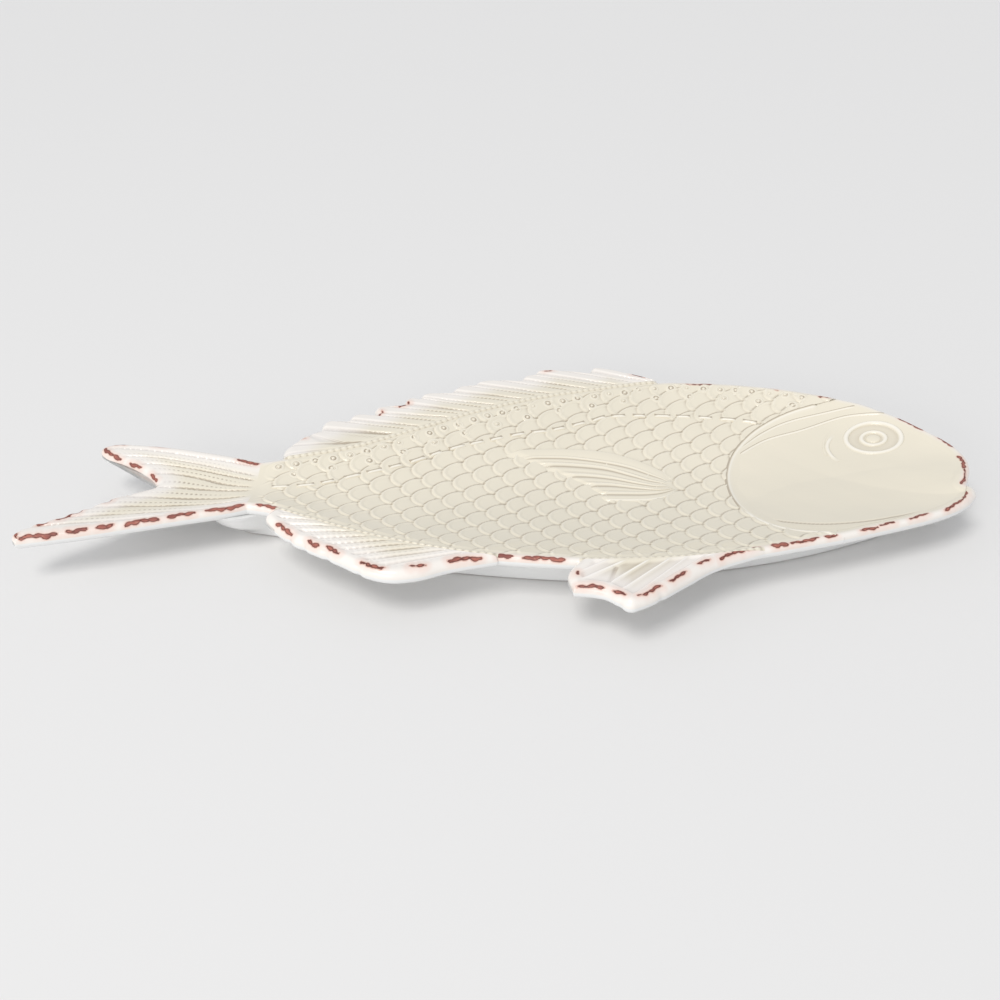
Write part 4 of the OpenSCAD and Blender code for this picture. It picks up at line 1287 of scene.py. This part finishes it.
# %% node helpers
class Socket:
    def __init__(self, tree, socket):
        self.tree, self.socket = tree, socket

    def node(self, kind, out=0, settings=None, **inputs):
        """Adds a node with its settings, and sets or links its inputs. An input is told by its
        name, such as From_Min, or by i and its number, such as i6."""
        node = self.tree.nodes.new(kind)
        for key, value in (settings or {}).items():
            setattr(node, key, value)
        for key, value in inputs.items():
            slot = int(key[1:]) if key[1:].isdigit() and key[0] == "i" else key.replace("_", " ")
            self.link(value, node.inputs[slot])
        return Socket(self.tree, node.outputs[out])

    def link(self, value, target):
        if isinstance(value, Socket):
            self.tree.links.new(value.socket, target)
        else:
            target.default_value = value

    def math(self, operation, a, b):
        return self.node("ShaderNodeMath", settings={"operation": operation}, i0=a, i1=b)

    def __add__(self, other):
        return self.math("ADD", self, other)

    __radd__ = __add__

    def __sub__(self, other):
        return self.math("SUBTRACT", self, other)

    def __rsub__(self, other):
        return self.math("SUBTRACT", other, self)

    def __mul__(self, other):
        return self.math("MULTIPLY", self, other)

    __rmul__ = __mul__

    def ramp(self, low, high):
        """0 below low and 1 above high, with a soft turn between."""
        return self.node("ShaderNodeMapRange", settings={"interpolation_type": "SMOOTHSTEP"},
                         Value=self, From_Min=low, From_Max=high)

    def colour(self, first, second):
        """From the first colour at 0 to the second at 1."""
        return self.node("ShaderNodeMix", out=2, settings={"data_type": "RGBA"},
                         i0=self, i6=first, i7=second)


def material(name):
    """A new material, a maker of its nodes, and the shader that Blender puts in it."""
    made = bpy.data.materials.new(name)
    made.use_nodes = True
    tree = made.node_tree
    return made, Socket(tree, None), tree.nodes["Principled BSDF"]


def noise(maker, place, scale, detail=2.0, roughness=0.5):
    return maker.node("ShaderNodeTexNoise", Vector=place, Scale=scale, Detail=detail, Roughness=roughness)


def attribute(maker, name):
    return maker.node("ShaderNodeAttribute", out=2, settings={"attribute_name": name})


# %% [markdown]
# The glaze is a warm, opaque cream white, glossy and a little uneven. It is darker and creamier in the
# hollows and on sides that face away from the viewer, which is pooled glaze with painted shade. It is
# whiter on the raised edges and on sides that face the viewer, which is thin glaze with a painted
# highlight. Near the rim it thins to pink. Along the worn strokes the red clay shows, with a painted
# shadow of the glaze edge as a dark outline.

# %% glaze
def glaze():
    made, maker, shader = material("cream_glaze")
    place = maker.node("ShaderNodeTexCoord", out=3)
    cavity, worn = attribute(maker, "cavity"), attribute(maker, "wear")
    rim, under = attribute(maker, "rim"), attribute(maker, "under")
    cloud = noise(maker, place, 9.0, 3.0)
    grain = noise(maker, place, 260.0, 3.0, 0.6)
    rough_edge = noise(maker, place, 620.0, 4.0, 0.65)
    patchy = noise(maker, place, 60.0, 3.0, 0.6)

    # The dark mix below is pooled glaze with painted shade, and the pale mix is thin glaze with a painted
    # highlight.
    pooled_and_shaded = (0.0 - cavity).ramp(0.03, 0.5)
    thin_and_highlighted = cavity.ramp(0.05, 0.5)
    colour = cloud.ramp(0.35, 0.65).colour((0.835, 0.77, 0.635, 1), (0.80, 0.74, 0.61, 1))
    colour = (pooled_and_shaded * 0.9).colour(colour, (0.46, 0.39, 0.30, 1))
    colour = (thin_and_highlighted * 0.95).colour(colour, (0.96, 0.92, 0.845, 1))
    edge = rim.ramp(7.5, 3.0)
    colour = (edge * 0.8).colour(colour, (0.90, 0.855, 0.82, 1))
    blush = edge * (worn + (patchy - 0.5) * 6.0).ramp(4.0, 0.5)
    colour = (blush * 0.55).colour(colour, (0.83, 0.62, 0.54, 1))
    colour = under.ramp(0.2, 0.8).colour(colour, (0.83, 0.83, 0.82, 1))

    border = worn + (rough_edge - 0.5) * 0.7 + (grain - 0.5) * 0.9
    halo = border.ramp(0.75, 0.15)
    bare_and_edge_shadow = border.ramp(0.15, -0.05)
    heart = border.ramp(-0.22, -0.5)
    colour = (halo * 0.6).colour(colour, (0.62, 0.30, 0.22, 1))
    # The dark ring at the border of a stroke is a painted shadow of the glaze edge. The same mask makes
    # the bare clay rough and sunk.
    colour = bare_and_edge_shadow.colour(colour, (0.145, 0.038, 0.026, 1))
    clay = (grain * 0.5 + patchy * 0.5).ramp(0.38, 0.6).colour((0.25, 0.075, 0.06, 1),
                                                               (0.43, 0.14, 0.10, 1))
    clay = (rough_edge.ramp(0.58, 0.72) * 0.5).colour(clay, (0.62, 0.36, 0.27, 1))
    colour = heart.colour(colour, clay)

    maker.link(colour, shader.inputs["Base Color"])
    maker.link(bare_and_edge_shadow * 0.38 + cloud * 0.06 + 0.12, shader.inputs["Roughness"])
    height = noise(maker, place, 120.0, 2.0) * 0.6 + grain * 0.12 - bare_and_edge_shadow * 0.5
    normal = maker.node("ShaderNodeBump", Strength=0.22, Distance=0.0006, Height=height)
    maker.link(normal, shader.inputs["Normal"])
    shader.inputs["IOR"].default_value = 1.5
    return made


glaze_material = glaze()
print("glaze has", len(glaze_material.node_tree.nodes), "nodes")

# %% [markdown]
# The band that the platter stands on is bare fired clay, dry and sandy, with cloudy stains from
# the kiln. Every other piece is glazed.

# %% bare clay
def bare_clay():
    made, maker, shader = material("bare_clay")
    place = maker.node("ShaderNodeTexCoord", out=3)
    sand = noise(maker, place, 900.0, 4.0, 0.7)
    stain = noise(maker, place, 40.0, 3.0)
    colour = stain.ramp(0.35, 0.65).colour((0.52, 0.33, 0.23, 1), (0.64, 0.44, 0.32, 1))
    colour = (sand.ramp(0.55, 0.75) * 0.5).colour(colour, (0.34, 0.19, 0.13, 1))
    maker.link(colour, shader.inputs["Base Color"])
    maker.link(sand * 0.2 + 0.7, shader.inputs["Roughness"])
    maker.link(maker.node("ShaderNodeBump", Strength=0.5, Distance=0.0004, Height=sand),
               shader.inputs["Normal"])
    return made


clay_material = bare_clay()
for piece in pieces.values():
    piece.data.materials.clear()
    piece.data.materials.append(clay_material if piece.name == "foot_bare" else glaze_material)
print("bare clay has", len(clay_material.node_tree.nodes), "nodes")

# %% [markdown]
# The platter lies on a wide pale sheet, which is matt so that it doesn't glare from any side. A
# soft sun stands high in front of it, so that the steps that face the viewer are the brightest,
# and a low lamp in front, towards the tail, lights the side of the rim. Nothing bright stands
# low behind the platter, where the glaze would mirror it.

# %% stage
bpy.ops.mesh.primitive_plane_add(size=16, location=(0, 0, 0))
floor = bpy.context.object
floor.name = "floor"
sheet, _, shader = material("pale_sheet")
shader.inputs["Base Color"].default_value = (0.80, 0.79, 0.78, 1)
shader.inputs["Roughness"].default_value = 0.8
shader.inputs["Specular IOR Level"].default_value = 0.1
floor.data.materials.append(sheet)


def lamp(kind, name, place, power, colour, **settings):
    """A lamp that looks at the middle of the platter."""
    bpy.ops.object.light_add(type=kind, location=place)
    made = bpy.context.object
    made.name = name
    made.data.energy, made.data.color = power, colour
    for key, value in settings.items():
        setattr(made.data, key, value)
    made.rotation_euler = Vector(place).to_track_quat("Z", "Y").to_euler()
    return made


lamp("SUN", "sun", (-0.5, -0.7, 1.5), 1.2, (1, 0.985, 0.96), angle=math.radians(28))
lamp("AREA", "front", (-0.9, -1.5, 0.5), 8.0, (1, 0.99, 0.98), shape="RECTANGLE", size=1.3, size_y=0.6)

world = bpy.data.worlds.new("studio")
bpy.context.scene.world = world
world.use_nodes = True
sky = world.node_tree.nodes["Background"]
sky.inputs["Color"].default_value = (0.80, 0.82, 0.85, 1)
sky.inputs["Strength"].default_value = 0.78

# %% [markdown]
# The camera stands where the photograph was taken from, 31 degrees above the table and 0.65 m
# from the platter. Its place and lens were found by fitting the outline of the fish.

# %% camera
camera_data = bpy.data.cameras.new("view")
camera_data.sensor_width = 36
camera_data.lens = 42.05
camera = bpy.data.objects.new("view", camera_data)
bpy.context.scene.collection.objects.link(camera)
camera.location = (-0.00795, -0.55610, 0.33870)
camera.rotation_euler = (math.radians(90 - 31), 0, 0)
bpy.context.scene.camera = camera
bpy.context.scene.view_settings.view_transform = "Standard"
print("camera", round(camera.location.length, 2), "m from the middle of the platter")
